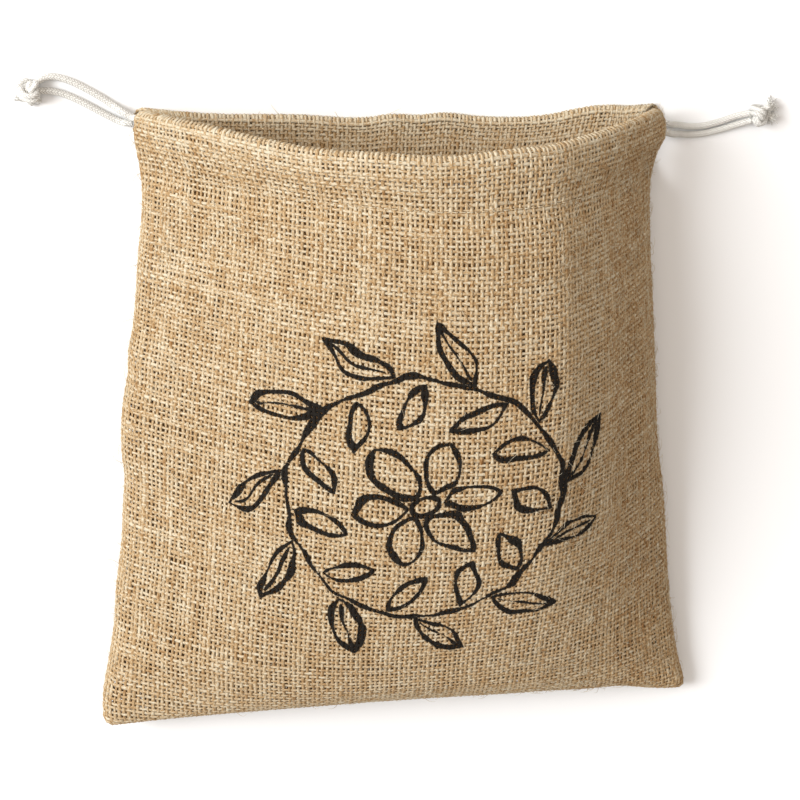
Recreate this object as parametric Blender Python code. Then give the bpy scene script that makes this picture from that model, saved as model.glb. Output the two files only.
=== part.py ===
"""Hessian drawstring sack, lying on its back with its mouth propped open.

Two cloth panels, front and back, are sewn together down both sides and along the bottom. Each has
a top hem turned inwards as a casing. Two cotton cords run round both casings, one knotted at the
left and one at the right. X is across the face, +Y points to the mouth, +Z is out of the face.
"""

import math

import bmesh
import bpy
import numpy as np
from mathutils import Vector

MM = 0.001

# Cloth
CLOTH_THICKNESS = 1.2 * MM
SEAM_GAP = 0.3 * MM            # between the facing edges of the two panels
PANEL_LENGTH = 290 * MM        # bottom seam to fold, along the surface it lies on

# Filled shape
BULGE = 70 * MM                # front crest above the seam line
NOSE_LENGTH = 209 * MM         # the crest climbs to its full height over this length
CREST_SOFTNESS = 0.12          # rounds the ridge where the two flanks meet
LEFT_POWER = 1.68              # how full the left flank is: 1 is straight, 2 is round
RIGHT_POWER = 2.2
BOTTOM_POWER = 0.7             # extra fullness of both flanks at the bottom
BOTTOM_FADE = 60 * MM
EDGE_LIFT = 4 * MM             # turned seam edge: quarter round of this height
EDGE_RADIUS = 6 * MM
BACK_RADIUS = 22 * MM          # the back rounds up to the seam over this width

# Corners and edges in plan
BOTTOM_LEFT_Y = -139.5 * MM
BOTTOM_RIGHT_Y = -143 * MM
BOTTOM_DRAWN_IN = 8 * MM
MOUTH_LEFT_Y = 150.5 * MM
MOUTH_RIGHT_Y = 143.5 * MM
FRONT_LIP_BOW = 1 * MM
BACK_LIP_BOW = -5 * MM

# Sections across the sack, from the bottom seam (along = 0) to the mouth (along = 1), in mm:
# the seam's place and height at each side, and where across the width the crest lies (0 to 1).
SECTION_COLUMNS = ("along", "left", "right", "left_height", "right_height", "crest")
SECTIONS = (
    (0.00, -138.0, 140.0, 16.0, 6.0, 0.45),
    (0.12, -134.0, 130.5, 14.0, 8.0, 0.50),
    (0.30, -128.0, 123.0, 12.0, 10.0, 0.57),
    (0.50, -124.0, 119.0, 12.0, 12.0, 0.61),
    (0.70, -118.0, 114.5, 12.0, 13.0, 0.62),
    (0.86, -111.5, 111.5, 10.0, 11.0, 0.60),
    (1.00, -114.5, 119.0, 9.5, 10.0, 0.52),
)

# Hem
CASING_DEPTH = 25 * MM         # fold to stitch line
HEM_DEPTH = 42 * MM            # fold to the end of the turned cloth
CASING_HEIGHT = 5.4 * MM       # outer layer to inner layer, middle to middle, round the cords
HUG_HEIGHT = 1.8 * MM          # the same where the two layers lie together
HEM_CUT_BACK = 12 * MM         # the turned layer stops short of the side seams
HEM_CUT_BLEND = 24 * MM
HEM_SIDE_ROUND = 25 * MM       # the hem eases down to its side ends over this width
SIDE_SLIT = 0.86               # above this the side edges part, so that the cords come out
SIDE_SLIT_FULL = 0.93

# Drawcords
CORD_DIAMETER = 2.9 * MM
CORD_STEP = 8 * MM
CORD_TURN_IN = 11 * MM         # a cord turns back this far inside the side edge
CORD_TURN_REACH = 15 * MM      # how strongly it heads on before it turns
CORD_TURN_SHARES = (0.2, 0.4, 0.6, 0.8)
CORD_SIDES = 2                 # bevel resolution
CORD_STRAND_STEP = 6.4 * MM
CORD_GAP = 0.4 * MM            # a free strand starts this far outside its casing run
# Depths below the fold, in mm, in the order that the cord runs
CORD_DEPTHS = {
    "drawcord_left": {"front_exit": 4.8, "front_turn": 4.8, "back_turn": 6.4, "back_exit": 8.0},
    "drawcord_right": {"front_exit": 13.0, "front_turn": 13.0, "back_turn": 17.0, "back_exit": 10.5},
}

# Free strands: plan points and heights in mm, from beyond the casing's end to the knot.
STRAND_ROUTES = {
    "strand_left_front": ((-118.4, 148.3, 4.6), (-122.4, 150.8, 2.2), (-127.8, 154.6, 1.5),
                          (-135.0, 159.1, 1.5), (-140.7, 162.1, 1.5), (-146.2, 163.9, 1.6),
                          (-150.6, 163.8, 2.2), (-154.6, 161.8, 3.5)),
    "strand_left_back": ((-118.6, 143.0, 2.2), (-121.6, 144.3, 1.5), (-126.4, 147.0, 1.5),
                         (-131.8, 150.3, 1.5), (-137.3, 153.5, 1.5), (-142.9, 156.2, 1.5),
                         (-148.4, 157.9, 2.2), (-154.1, 158.5, 3.6)),
    "strand_right_front": ((122.6, 128.9, 4.2), (125.6, 128.3, 2.2), (130.0, 127.7, 1.5),
                           (137.2, 128.0, 1.5), (145.2, 129.6, 1.5), (151.2, 131.5, 2.2),
                           (158.0, 133.8, 3.8)),
    "strand_right_back": ((122.6, 132.8, 2.2), (126.0, 132.2, 1.5), (130.4, 131.5, 1.5),
                          (137.1, 131.5, 1.5), (145.1, 133.3, 1.5), (151.0, 135.4, 2.2),
                          (157.3, 137.1, 3.7)),
}

# Knots, with the short cut ends that stick out of them
KNOT_SIZE = {"knot_left": (8.2, 11.0, 8.6), "knot_right": (8.2, 10.8, 8.6)}
KNOT_CENTRE = {"knot_left": (-158.4, 158.8, 4.4), "knot_right": (161.6, 136.2, 4.4)}
KNOT_RIPPLE = 0.06
TAIL_ROUTES = {
    "tail_left_upper": ((-155.3, 155.7, 2.7), (-154.0, 154.2, 2.0), (-152.9, 153.6, 1.6)),
    "tail_left_lower": ((-157.9, 153.7, 2.7), (-157.4, 151.8, 2.0), (-156.5, 150.8, 1.6)),
    "tail_right_upper": ((165.2, 138.8, 2.9), (167.7, 140.7, 2.2), (170.2, 140.9, 1.7)),
    "tail_right_lower": ((165.4, 134.5, 2.9), (167.8, 133.0, 2.1), (169.0, 131.4, 1.7)),
}

# Fineness of the cloth
FINE_ACROSS = 141
FINE_ALONG = 161
COLUMNS = 30
OUTER_ROWS = 15
FOLD_ANGLES = (45, 90, 135)
HEM_ROWS = (7, 13, 19, 25, 33, 42)   # mm below the fold

HESSIAN = ("jute hessian", (0.584, 0.366, 0.147, 1.0), 0.9)
COTTON = ("cotton cord", (0.787, 0.761, 0.679, 1.0), 0.8)


def clear_scene():
    for obj in list(bpy.data.objects):
        bpy.data.objects.remove(obj, do_unlink=True)


def material(recipe):
    name, colour, roughness = recipe
    found = bpy.data.materials.get(name)
    if found:
        return found
    made = bpy.data.materials.new(name)
    made.use_nodes = True
    shader = made.node_tree.nodes["Principled BSDF"]
    shader.inputs["Base Color"].default_value = colour
    shader.inputs["Roughness"].default_value = roughness
    shader.inputs["Metallic"].default_value = 0.0
    return made


# ---------------------------------------------------------------- the filled shape

def section_value(column, along):
    """One column of SECTIONS at any place along the sack, as a smooth curve through its rows."""
    rows = np.array(SECTIONS)
    places = rows[:, 0]
    values = rows[:, SECTION_COLUMNS.index(column)]
    slopes = np.gradient(values, places)
    along = np.clip(along, 0, 1)
    i = np.clip(np.searchsorted(places, along, side="right") - 1, 0, len(places) - 2)
    span = places[i + 1] - places[i]
    f = (along - places[i]) / span
    return (values[i] * (1 + 2 * f) * (1 - f) ** 2 + slopes[i] * span * f * (1 - f) ** 2
            + values[i + 1] * f * f * (3 - 2 * f) + slopes[i + 1] * span * f * f * (f - 1))


def quarter_round(distance, radius):
    """0 at an edge, rising as a quarter circle to 1 at the radius and beyond."""
    left = 1 - np.clip(distance / radius, 0, 1)
    return np.sqrt(np.clip(1 - left * left, 0, 1))


def unit(vector):
    return vector / np.linalg.norm(vector)


def smooth_step(value, low, high):
    f = np.clip((value - low) / (high - low), 0, 1)
    return f * f * (3 - 2 * f)


def plan(across, along, lip_bow):
    """X and Y of a place on a panel, across 0 to 1 from the left seam, along 0 to 1 to the mouth."""
    left = section_value("left", along) * MM
    right = section_value("right", along) * MM
    x = left + (right - left) * across
    middle = 4 * across * (1 - across)
    bottom = BOTTOM_LEFT_Y + (BOTTOM_RIGHT_Y - BOTTOM_LEFT_Y) * across + BOTTOM_DRAWN_IN * middle
    mouth = MOUTH_LEFT_Y + (MOUTH_RIGHT_Y - MOUTH_LEFT_Y) * across + lip_bow * middle
    return x, bottom + (mouth - bottom) * along, right - left


def seam_height(across, along):
    left = section_value("left_height", along) * MM
    right = section_value("right_height", along) * MM
    return left + (right - left) * across


def edge_round(across, along, width, radius):
    """0 on the side and bottom seams, 1 inside them."""
    return (quarter_round(across * width, radius) * quarter_round((1 - across) * width, radius)
            * quarter_round(along * PANEL_LENGTH, radius))


def front_surface(across, along):
    """The middle of the front panel's cloth."""
    x, y, width = plan(across, along, FRONT_LIP_BOW)
    crest = section_value("crest", along)
    from_crest = np.where(across < crest, (crest - across) / crest, (across - crest) / (1 - crest))
    length = along * PANEL_LENGTH
    power = np.where(across < crest, LEFT_POWER, RIGHT_POWER)
    power = power + BOTTOM_POWER * np.exp(-length / BOTTOM_FADE)
    soft = CREST_SOFTNESS
    drop = (from_crest ** 2 + soft ** 2) ** (power / 2) - soft ** power
    drop = drop / ((1 + soft ** 2) ** (power / 2) - soft ** power)
    bulge = BULGE * quarter_round(length, NOSE_LENGTH) * np.clip(1 - drop, 0, 1)
    slit = smooth_step(along, SIDE_SLIT, SIDE_SLIT_FULL)
    hem_round = (smooth_step(across * width, 0, HEM_SIDE_ROUND)
                 * smooth_step((1 - across) * width, 0, HEM_SIDE_ROUND))
    seam_round = edge_round(across, along, width, EDGE_RADIUS)
    lift = EDGE_LIFT * (seam_round * (1 - slit) + hem_round * slit)
    z = seam_height(across, along) + SEAM_GAP / 2 + bulge + lift
    return np.stack([x, y, z], axis=-1)


def back_surface(across, along):
    """The middle of the back panel's cloth: flat on the ground, rounding up to the seams."""
    x, y, width = plan(across, along, BACK_LIP_BOW)
    slit = smooth_step(along, SIDE_SLIT, SIDE_SLIT_FULL)
    rise = 1 - edge_round(across, along, width, BACK_RADIUS)
    ground = CLOTH_THICKNESS / 2
    height = seam_height(across, along) - SEAM_GAP / 2 - ground
    return np.stack([x, y, ground + height * rise * (1 - slit)], axis=-1)


class Panel:
    """A panel's cloth, laid out evenly: by share of its width and by distance below the fold."""

    def __init__(self, surface, outwards):
        across = 0.5 - 0.5 * np.cos(np.linspace(0, math.pi, FINE_ACROSS))
        along = 1 - np.cos(np.linspace(0, math.pi / 2, FINE_ALONG))
        along[-1] = 1.0
        grid = surface(*np.meshgrid(across, along))
        even = np.linspace(0, 1, FINE_ACROSS)
        for j in range(len(along)):
            grid[j] = spread_evenly(grid[j], even)
        grid = grid[::-1]
        self.lengths = np.zeros(FINE_ACROSS)
        for i in range(FINE_ACROSS):
            steps = np.linalg.norm(np.diff(grid[:, i], axis=0), axis=1)
            self.lengths[i] = steps.sum()
            grid[:, i] = spread_evenly(grid[:, i], np.linspace(0, 1, FINE_ALONG))
        self.grid = grid
        over = np.gradient(grid, axis=1)
        down = np.gradient(grid, axis=0)
        normal = np.cross(down, over)
        if (normal[:, :, 2].mean() > 0) != (outwards > 0):
            normal = -normal
        self.normals = normal / np.linalg.norm(normal, axis=-1, keepdims=True)
        self.downs = down / np.linalg.norm(down, axis=-1, keepdims=True)

    def length(self, share):
        return np.interp(share, np.linspace(0, 1, FINE_ACROSS), self.lengths)

    def read(self, table, share, depth):
        """A table's value at shares of the width and depths below the fold."""
        i = np.clip(share, 0, 1) * (FINE_ACROSS - 1)
        j = np.clip(depth / self.length(share), 0, 1) * (FINE_ALONG - 1)
        i0 = np.clip(np.floor(i).astype(int), 0, FINE_ACROSS - 2)
        j0 = np.clip(np.floor(j).astype(int), 0, FINE_ALONG - 2)
        fi = (i - i0)[..., None]
        fj = (j - j0)[..., None]
        upper = table[j0, i0] * (1 - fi) + table[j0, i0 + 1] * fi
        lower = table[j0 + 1, i0] * (1 - fi) + table[j0 + 1, i0 + 1] * fi
        return upper * (1 - fj) + lower * fj

    def point(self, share, depth):
        return self.read(self.grid, share, depth)

    def normal(self, share, depth):
        found = self.read(self.normals, share, depth)
        return found / np.linalg.norm(found, axis=-1, keepdims=True)

    def up(self, share, depth):
        """The way along the cloth towards the fold."""
        found = -self.read(self.downs, share, depth)
        return found / np.linalg.norm(found, axis=-1, keepdims=True)


def spread_evenly(points, shares):
    """Points along a polyline at shares of its length."""
    steps = np.linalg.norm(np.diff(points, axis=0), axis=1)
    places = np.concatenate([[0.0], np.cumsum(steps)])
    places = places / places[-1]
    return np.stack([np.interp(shares, places, points[:, k]) for k in range(3)], axis=-1)


# ---------------------------------------------------------------- the panels as solids

def column_shares():
    """Columns across a panel, closer together near its side edges."""
    even = np.linspace(0, 1, COLUMNS + 1)
    crowded = 0.5 - 0.5 * np.cos(math.pi * even)
    return 0.3 * even + 0.7 * crowded


def hem_shares(panel, shares, turned):
    """The same columns on the turned layer, which stops short of both side edges."""
    width = np.linalg.norm(np.diff(panel.grid[0], axis=0), axis=1).sum()
    blend = HEM_CUT_BLEND / width
    cut = HEM_CUT_BACK / width * turned
    inner = np.where(shares < blend, cut + shares * (blend - cut) / blend, shares)
    return np.where(shares > 1 - blend, 1 - cut - (1 - shares) * (blend - cut) / blend, inner)


def layer_height(depth):
    """How far the turned layer lies from the outer one, at a depth below the fold."""
    closing = smooth_step(depth, HEM_ROWS[2] * MM, CASING_DEPTH)
    return CASING_HEIGHT + (HUG_HEIGHT - CASING_HEIGHT) * closing


def panel_rows(panel):
    """The cloth from the bottom seam up, over the fold and down to the hem's end.

    Each row holds the middle of the cloth and the way out of its outer side.
    """
    shares = column_shares()
    radius = CASING_HEIGHT / 2
    rows = []
    hem = np.array(HEM_ROWS) * MM
    crowd = 1 - np.cos(np.linspace(0, math.pi / 2, OUTER_ROWS, endpoint=False))
    for f in 0.5 * crowd + 0.5 * np.linspace(0, 1, OUTER_ROWS, endpoint=False):
        full = panel.length(shares)
        depth = full + (HEM_DEPTH - full) * f
        rows.append((panel.point(shares, depth), panel.normal(shares, depth)))
    for depth in [*hem[::-1], radius]:
        rows.append((panel.point(shares, depth + 0 * shares), panel.normal(shares, depth + 0 * shares)))
    level = radius + 0 * shares
    for angle in FOLD_ANGLES:
        turn = math.radians(angle)
        place = hem_shares(panel, shares, angle / 180)
        out = panel.normal(place, level)
        up = panel.up(place, level)
        centre = panel.point(place, level) - out * radius
        outer_side = out * math.cos(turn) + up * math.sin(turn)
        rows.append((centre + outer_side * radius, outer_side))
    place = hem_shares(panel, shares, 1.0)
    for depth in [radius, *hem]:
        out = panel.normal(place, depth + 0 * shares)
        rows.append((panel.point(place, depth + 0 * shares) - out * layer_height(depth), -out))
    square_seam_edges(rows)
    return rows


def square_seam_edges(rows):
    """Turns the cloth's edge faces level along the seams, so the two panels meet face to face."""
    middles = np.array([middle for middle, _ in rows])
    last_closed = OUTER_ROWS
    for side, sign in ((0, -1.0), (-1, 1.0)):
        along_seam = np.gradient(middles[:last_closed + 1, side], axis=0)
        for j in range(1, last_closed + 1):
            rows[j][1][side] = level_normal(along_seam[j], sign)
    along_bottom = np.gradient(middles[0], axis=0)
    for i in range(len(along_bottom)):
        rows[0][1][i] = level_normal(along_bottom[i], 1.0)
    for side, sign in ((0, -1.0), (-1, 1.0)):
        corner = level_normal(middles[1, side] - middles[0, side], sign) + rows[0][1][side]
        rows[0][1][side] = unit(corner)


def level_normal(direction, sign):
    """The level way out across an edge: right of the direction when sign is 1, else left."""
    out = np.array([direction[1], -direction[0], 0.0]) * sign
    return unit(out)


def panel_object(name, panel, outwards):
    rows = panel_rows(panel)
    half = CLOTH_THICKNESS / 2
    outer = np.array([middle + out * half for middle, out in rows])
    inner = np.array([middle - out * half for middle, out in rows])
    height, width = outer.shape[:2]
    vertices = np.concatenate([outer.reshape(-1, 3), inner.reshape(-1, 3)])
    back = height * width

    def at(j, i, layer):
        return j * width + i + layer * back

    faces = []
    for j in range(height - 1):
        for i in range(width - 1):
            faces.append((at(j, i, 0), at(j, i + 1, 0), at(j + 1, i + 1, 0), at(j + 1, i, 0)))
            faces.append((at(j, i, 1), at(j + 1, i, 1), at(j + 1, i + 1, 1), at(j, i + 1, 1)))
    for i in range(width - 1):
        faces.append((at(0, i + 1, 0), at(0, i, 0), at(0, i, 1), at(0, i + 1, 1)))
        faces.append((at(height - 1, i, 0), at(height - 1, i + 1, 0),
                      at(height - 1, i + 1, 1), at(height - 1, i, 1)))
    for j in range(height - 1):
        faces.append((at(j, 0, 0), at(j + 1, 0, 0), at(j + 1, 0, 1), at(j, 0, 1)))
        faces.append((at(j + 1, width - 1, 0), at(j, width - 1, 0),
                      at(j, width - 1, 1), at(j + 1, width - 1, 1)))
    if outwards < 0:
        faces = [face[::-1] for face in faces]
    return mesh_object(name, vertices, faces, HESSIAN)


def mesh_object(name, vertices, faces, recipe):
    mesh = bpy.data.meshes.new(name)
    mesh.from_pydata([tuple(v) for v in vertices], [], faces)
    mesh.validate()
    mesh.materials.append(material(recipe))
    mesh.shade_smooth()
    obj = bpy.data.objects.new(name, mesh)
    bpy.context.collection.objects.link(obj)
    return obj


# ---------------------------------------------------------------- the cords

def smooth_route(points, step):
    """Points at even steps on a smooth curve through the route's own points."""
    points = np.array(points, dtype=float)
    ends = np.concatenate([[2 * points[0] - points[1]], points, [2 * points[-1] - points[-2]]])
    fine = []
    for k in range(len(points) - 1):
        p0, p1, p2, p3 = ends[k:k + 4]
        for t in np.linspace(0, 1, 12, endpoint=False):
            fine.append(p1 + 0.5 * t * (p2 - p0 + t * (2 * p0 - 5 * p1 + 4 * p2 - p3
                                                      + t * (3 * (p1 - p2) + p3 - p0))))
    fine.append(points[-1])
    fine = np.array(fine)
    length = np.linalg.norm(np.diff(fine, axis=0), axis=1).sum()
    count = max(3, round(length / step) + 1)
    return spread_evenly(fine, np.linspace(0, 1, count))


def cord_object(name, points):
    curve = bpy.data.curves.new(name, "CURVE")
    curve.dimensions = "3D"
    curve.bevel_depth = CORD_DIAMETER / 2
    curve.bevel_resolution = CORD_SIDES
    curve.render_resolution_u = 0
    curve.use_fill_caps = True
    spline = curve.splines.new("POLY")
    spline.points.add(len(points) - 1)
    for place, point in zip(spline.points, points):
        place.co = (*point, 1.0)
    curve.materials.append(material(COTTON))
    obj = bpy.data.objects.new(name, curve)
    bpy.context.collection.objects.link(obj)
    return obj


def casing_run(panel, depths, shares):
    """A cord's middle inside a casing, at depths below the fold."""
    return panel.point(shares, depths) - panel.normal(shares, depths) * (CASING_HEIGHT / 2)


def casing_route(name, front, back):
    """A drawcord's run: in at one side, across the front, round, and home across the back."""
    depths = {place: depth * MM for place, depth in CORD_DEPTHS[name].items()}
    width = np.linalg.norm(np.diff(front.grid[0], axis=0), axis=1).sum()
    run = np.linspace(0, 1, round(width / CORD_STEP))
    shares = run * (1 - CORD_TURN_IN / width)
    exit_side = -1 if name.endswith("left") else 1
    if exit_side > 0:
        shares = 1 - shares
    front_depths = depths["front_exit"] + (depths["front_turn"] - depths["front_exit"]) * run
    back_depths = depths["back_exit"] + (depths["back_turn"] - depths["back_exit"]) * run
    out = casing_run(front, front_depths, shares)
    home = casing_run(back, back_depths, shares)[::-1]
    leaving = unit(out[-1] - out[-2]) * CORD_TURN_REACH
    returning = unit(home[1] - home[0]) * CORD_TURN_REACH
    turn = [(1 + 2 * t) * (1 - t) ** 2 * out[-1] + t * t * (3 - 2 * t) * home[0]
            + t * (1 - t) ** 2 * leaving + t * t * (t - 1) * returning for t in CORD_TURN_SHARES]
    return np.concatenate([out, turn, home])


def strand_route(name, casing):
    """A free strand: straight on out of the casing, then along its own route."""
    inside, end = (casing[1], casing[0]) if name.endswith("front") else (casing[-2], casing[-1])
    onwards = unit(end - inside)
    start = end + onwards * CORD_GAP
    rest = smooth_route([start + onwards * CORD_DIAMETER, *(np.array(STRAND_ROUTES[name]) * MM)],
                        CORD_STRAND_STEP)
    return np.concatenate([[start], rest])


def knot_object(name):
    """A tight overhand knot's outer form: an egg with three shallow turns of cord round it."""
    size = Vector(KNOT_SIZE[name]) * MM / 2
    centre = Vector(KNOT_CENTRE[name]) * MM
    shape = bmesh.new()
    bmesh.ops.create_uvsphere(shape, u_segments=18, v_segments=12, radius=1.0)
    for vertex in shape.verts:
        x, y, z = vertex.co
        turn = math.atan2(z, x)
        ripple = 1 + KNOT_RIPPLE * math.cos(3 * turn + 2.5 * y) * (1 - y * y) - KNOT_RIPPLE
        vertex.co = Vector((x * size.x, y * size.y, z * size.z)) * ripple + centre
    mesh = bpy.data.meshes.new(name)
    shape.to_mesh(mesh)
    shape.free()
    mesh.materials.append(material(COTTON))
    mesh.shade_smooth()
    obj = bpy.data.objects.new(name, mesh)
    bpy.context.collection.objects.link(obj)
    return obj


def cord_objects(front, back):
    casings = {name: casing_route(name, front, back) for name in CORD_DEPTHS}
    for name, route in casings.items():
        cord_object(name, route)
    for name in STRAND_ROUTES:
        side = name.split("_")[1]
        cord_object(name, strand_route(name, casings["drawcord_" + side]))
    for name, route in TAIL_ROUTES.items():
        cord_object(name, smooth_route(np.array(route) * MM, CORD_STRAND_STEP))


def centre_on_origin(panels):
    """Moves everything so that the panels' bounding box stands on the origin."""
    corners = np.concatenate([[vertex.co for vertex in obj.data.vertices] for obj in panels])
    middle = (corners.min(axis=0) + corners.max(axis=0)) / 2
    for obj in bpy.data.objects:
        obj.location = (-middle[0], -middle[1], 0.0)


def main():
    clear_scene()
    front = Panel(front_surface, 1)
    back = Panel(back_surface, -1)
    panels = [panel_object("front_panel", front, 1), panel_object("back_panel", back, -1)]
    cord_objects(front, back)
    for name in KNOT_SIZE:
        knot_object(name)
    centre_on_origin(panels)


main()
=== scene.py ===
"""Looks of a small hessian drawstring sack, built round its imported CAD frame.

Every warp and weft yarn of the cloth is a tube of its own, laid over and under the others on the
shape of the CAD panels, round the fold and down the turned hem. The drawcords are braided cotton,
knotted together in pairs. Lengths are in metres unless a name or a comment says otherwise. Across
a panel, share runs from 0 at its left seam to 1 at its right seam.
"""

import math

import bpy
import numpy as np
from mathutils import Matrix, Vector


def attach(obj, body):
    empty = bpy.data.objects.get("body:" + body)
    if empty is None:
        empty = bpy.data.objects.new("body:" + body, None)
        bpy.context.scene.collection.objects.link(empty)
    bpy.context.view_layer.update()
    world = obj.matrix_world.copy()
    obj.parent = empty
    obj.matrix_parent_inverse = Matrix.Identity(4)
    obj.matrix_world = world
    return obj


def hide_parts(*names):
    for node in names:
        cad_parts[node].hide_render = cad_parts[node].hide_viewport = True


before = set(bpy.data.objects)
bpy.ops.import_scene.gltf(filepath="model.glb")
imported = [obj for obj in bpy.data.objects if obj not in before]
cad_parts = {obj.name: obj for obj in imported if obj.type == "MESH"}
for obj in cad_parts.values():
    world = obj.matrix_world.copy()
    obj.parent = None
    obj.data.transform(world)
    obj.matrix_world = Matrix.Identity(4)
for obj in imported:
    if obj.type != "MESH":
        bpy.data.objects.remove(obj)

bl_info = {
    "name": "Hessian drawstring sack",
    "version": (1, 0, 0),
    "blender": (4, 5, 0),
    "location": "3D View > Sidebar > Sack",
    "description": "Weaves the cloth and braids the cords of a small sack round its CAD frame",
    "category": "Object",
}

MM = 0.001
BODY = "root"
SEED = 41

# Where the CAD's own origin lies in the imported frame
CAD_SHIFT = np.array((-1.014, -3.911, 0.0)) * MM

# Filled shape, as in the CAD
CLOTH_THICKNESS = 1.2 * MM
SEAM_GAP = 0.3 * MM            # between the facing edges of the two panels
PANEL_LENGTH = 290 * MM        # bottom seam to fold, along the surface it lies on
BULGE = 70 * MM                # front crest above the seam line
NOSE_LENGTH = 209 * MM         # the crest climbs to its full height over this length
CREST_SOFTNESS = 0.12          # rounds the ridge where the two flanks meet
LEFT_POWER = 1.68              # how full the left flank is: 1 is straight, 2 is round
RIGHT_POWER = 2.2
BOTTOM_POWER = 0.7             # extra fullness of both flanks at the bottom
BOTTOM_FADE = 60 * MM
EDGE_LIFT = 4 * MM             # turned seam edge: quarter round of this height
EDGE_RADIUS = 6 * MM
BACK_RADIUS = 22 * MM          # the back rounds up to the seam over this width
BOTTOM_LEFT_Y = -139.5 * MM
BOTTOM_RIGHT_Y = -143 * MM
BOTTOM_DRAWN_IN = 8 * MM
MOUTH_LEFT_Y = 150.5 * MM
MOUTH_RIGHT_Y = 143.5 * MM
FRONT_LIP_BOW = 1 * MM
BACK_LIP_BOW = -5 * MM

# Sections across the sack, from the bottom seam (along = 0) to the mouth (along = 1), in mm:
# the seam's place and height at each side, and where across the width the crest lies (0 to 1).
SECTION_COLUMNS = ("along", "left", "right", "left_height", "right_height", "crest")
SECTIONS = (
    (0.00, -138.0, 140.0, 16.0, 6.0, 0.45),
    (0.12, -134.0, 130.5, 14.0, 8.0, 0.50),
    (0.30, -128.0, 123.0, 12.0, 10.0, 0.57),
    (0.50, -124.0, 119.0, 12.0, 12.0, 0.61),
    (0.70, -118.0, 114.5, 12.0, 13.0, 0.62),
    (0.86, -111.5, 111.5, 10.0, 11.0, 0.60),
    (1.00, -114.5, 119.0, 9.5, 10.0, 0.52),
)

# Hem: its casing as in the CAD, and how far its turned layer is drawn back at the side seams
CASING_DEPTH = 25 * MM         # fold to stitch line
HEM_DEPTH = 42 * MM            # fold to the end of the turned cloth
CASING_HEIGHT = 5.4 * MM       # outer layer to inner layer, middle to middle, round the cords
HUG_HEIGHT = 1.8 * MM          # the same where the two layers lie together
CLOSING_DEPTH = 19 * MM
HEM_CUT_BACK = 8 * MM          # the turned layer stops short of the side seams
HEM_CUT_BLEND = 24 * MM
HEM_SIDE_ROUND = 25 * MM       # the hem eases down to its side ends over this width
SIDE_SLIT = 0.86               # above this the side edges part, so that the cords come out
SIDE_SLIT_FULL = 0.93

# Drawcords, as in the CAD but for the ends of their tails
CORD_DIAMETER = 2.9 * MM
CORD_STEP = 8 * MM
CORD_GAP = 0.4 * MM            # a free strand starts this far outside its casing run
CORD_TURN_IN = 11 * MM         # a cord turns back this far inside the side edge
CORD_FREE_REACH = 25 * MM      # from a side, where the casing's waves don't move the cord
CORD_TURN_REACH = 15 * MM      # how strongly it heads on before it turns
CORD_TURN_SHARES = (0.2, 0.4, 0.6, 0.8)

# Depths below the fold, in mm, in the order that the cord runs
CORD_DEPTHS = {
    "left": {"front_exit": 4.8, "front_turn": 4.8, "back_turn": 6.4, "back_exit": 8.0},
    "right": {"front_exit": 13.0, "front_turn": 13.0, "back_turn": 17.0, "back_exit": 10.5},
}

# Free strands: plan points and heights in mm, from beyond the casing's end to the knot, and the
# tails from the knot to their ends
STRAND_ROUTES = {
    "left_front": ((-118.4, 148.3, 4.6), (-122.4, 150.8, 2.2), (-127.8, 154.6, 1.5),
                   (-135.0, 159.1, 1.5), (-140.7, 162.1, 1.5), (-146.2, 163.9, 1.6),
                   (-150.6, 163.8, 2.2), (-154.6, 161.8, 3.5)),
    "left_back": ((-118.6, 143.0, 2.2), (-121.6, 144.3, 1.5), (-126.4, 147.0, 1.5),
                  (-131.8, 150.3, 1.5), (-137.3, 153.5, 1.5), (-142.9, 156.2, 1.5),
                  (-148.4, 157.9, 2.2), (-154.1, 158.5, 3.6)),
    "right_front": ((122.6, 128.9, 4.2), (125.6, 128.3, 2.2), (130.0, 127.7, 1.5),
                    (137.2, 128.0, 1.5), (145.2, 129.6, 1.5), (151.2, 131.5, 2.2),
                    (158.0, 133.8, 3.8)),
    "right_back": ((122.6, 132.8, 2.2), (126.0, 132.2, 1.5), (130.4, 131.5, 1.5),
                   (137.1, 131.5, 1.5), (145.1, 133.3, 1.5), (151.0, 135.4, 2.2),
                   (157.3, 137.1, 3.7)),
}
KNOT_CENTRE = {"left": (-158.4, 158.8, 4.4), "right": (161.6, 136.2, 4.4)}
TAIL_ROUTES = {
    "left_upper": ((-155.3, 155.7, 2.7), (-154.0, 154.2, 2.0), (-152.9, 153.6, 1.6)),
    "left_lower": ((-157.6, 154.8, 2.7), (-156.9, 153.4, 2.0), (-156.0, 152.6, 1.6)),
    "right_upper": ((164.7, 138.7, 3.0), (166.0, 139.7, 2.8), (167.2, 140.4, 2.6)),
    "right_lower": ((165.2, 135.2, 2.9), (166.5, 134.8, 2.6), (167.7, 134.3, 2.3)),
}

# Braid: 16 ends of cotton, eight each way, each over two and under two
BRAID_WAYS = 8
BRAID_LEAD = 10.8 * MM         # of one end's turn round the cord
BRAID_LEVEL = 0.72             # of the relief, at the cord's own thickness
END_WIDTH = 0.9 * MM           # of one end of the braid
END_STEP = 0.85 * MM           # along it, from one crossing to the next
BRAID_SIDES = 40
BRAID_STEP = 0.30 * MM
PLAIN_SIDES = 12
PLAIN_STEP = 2.0 * MM
PLAIN_THINNER = 0.1 * MM       # where it is hidden

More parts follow.
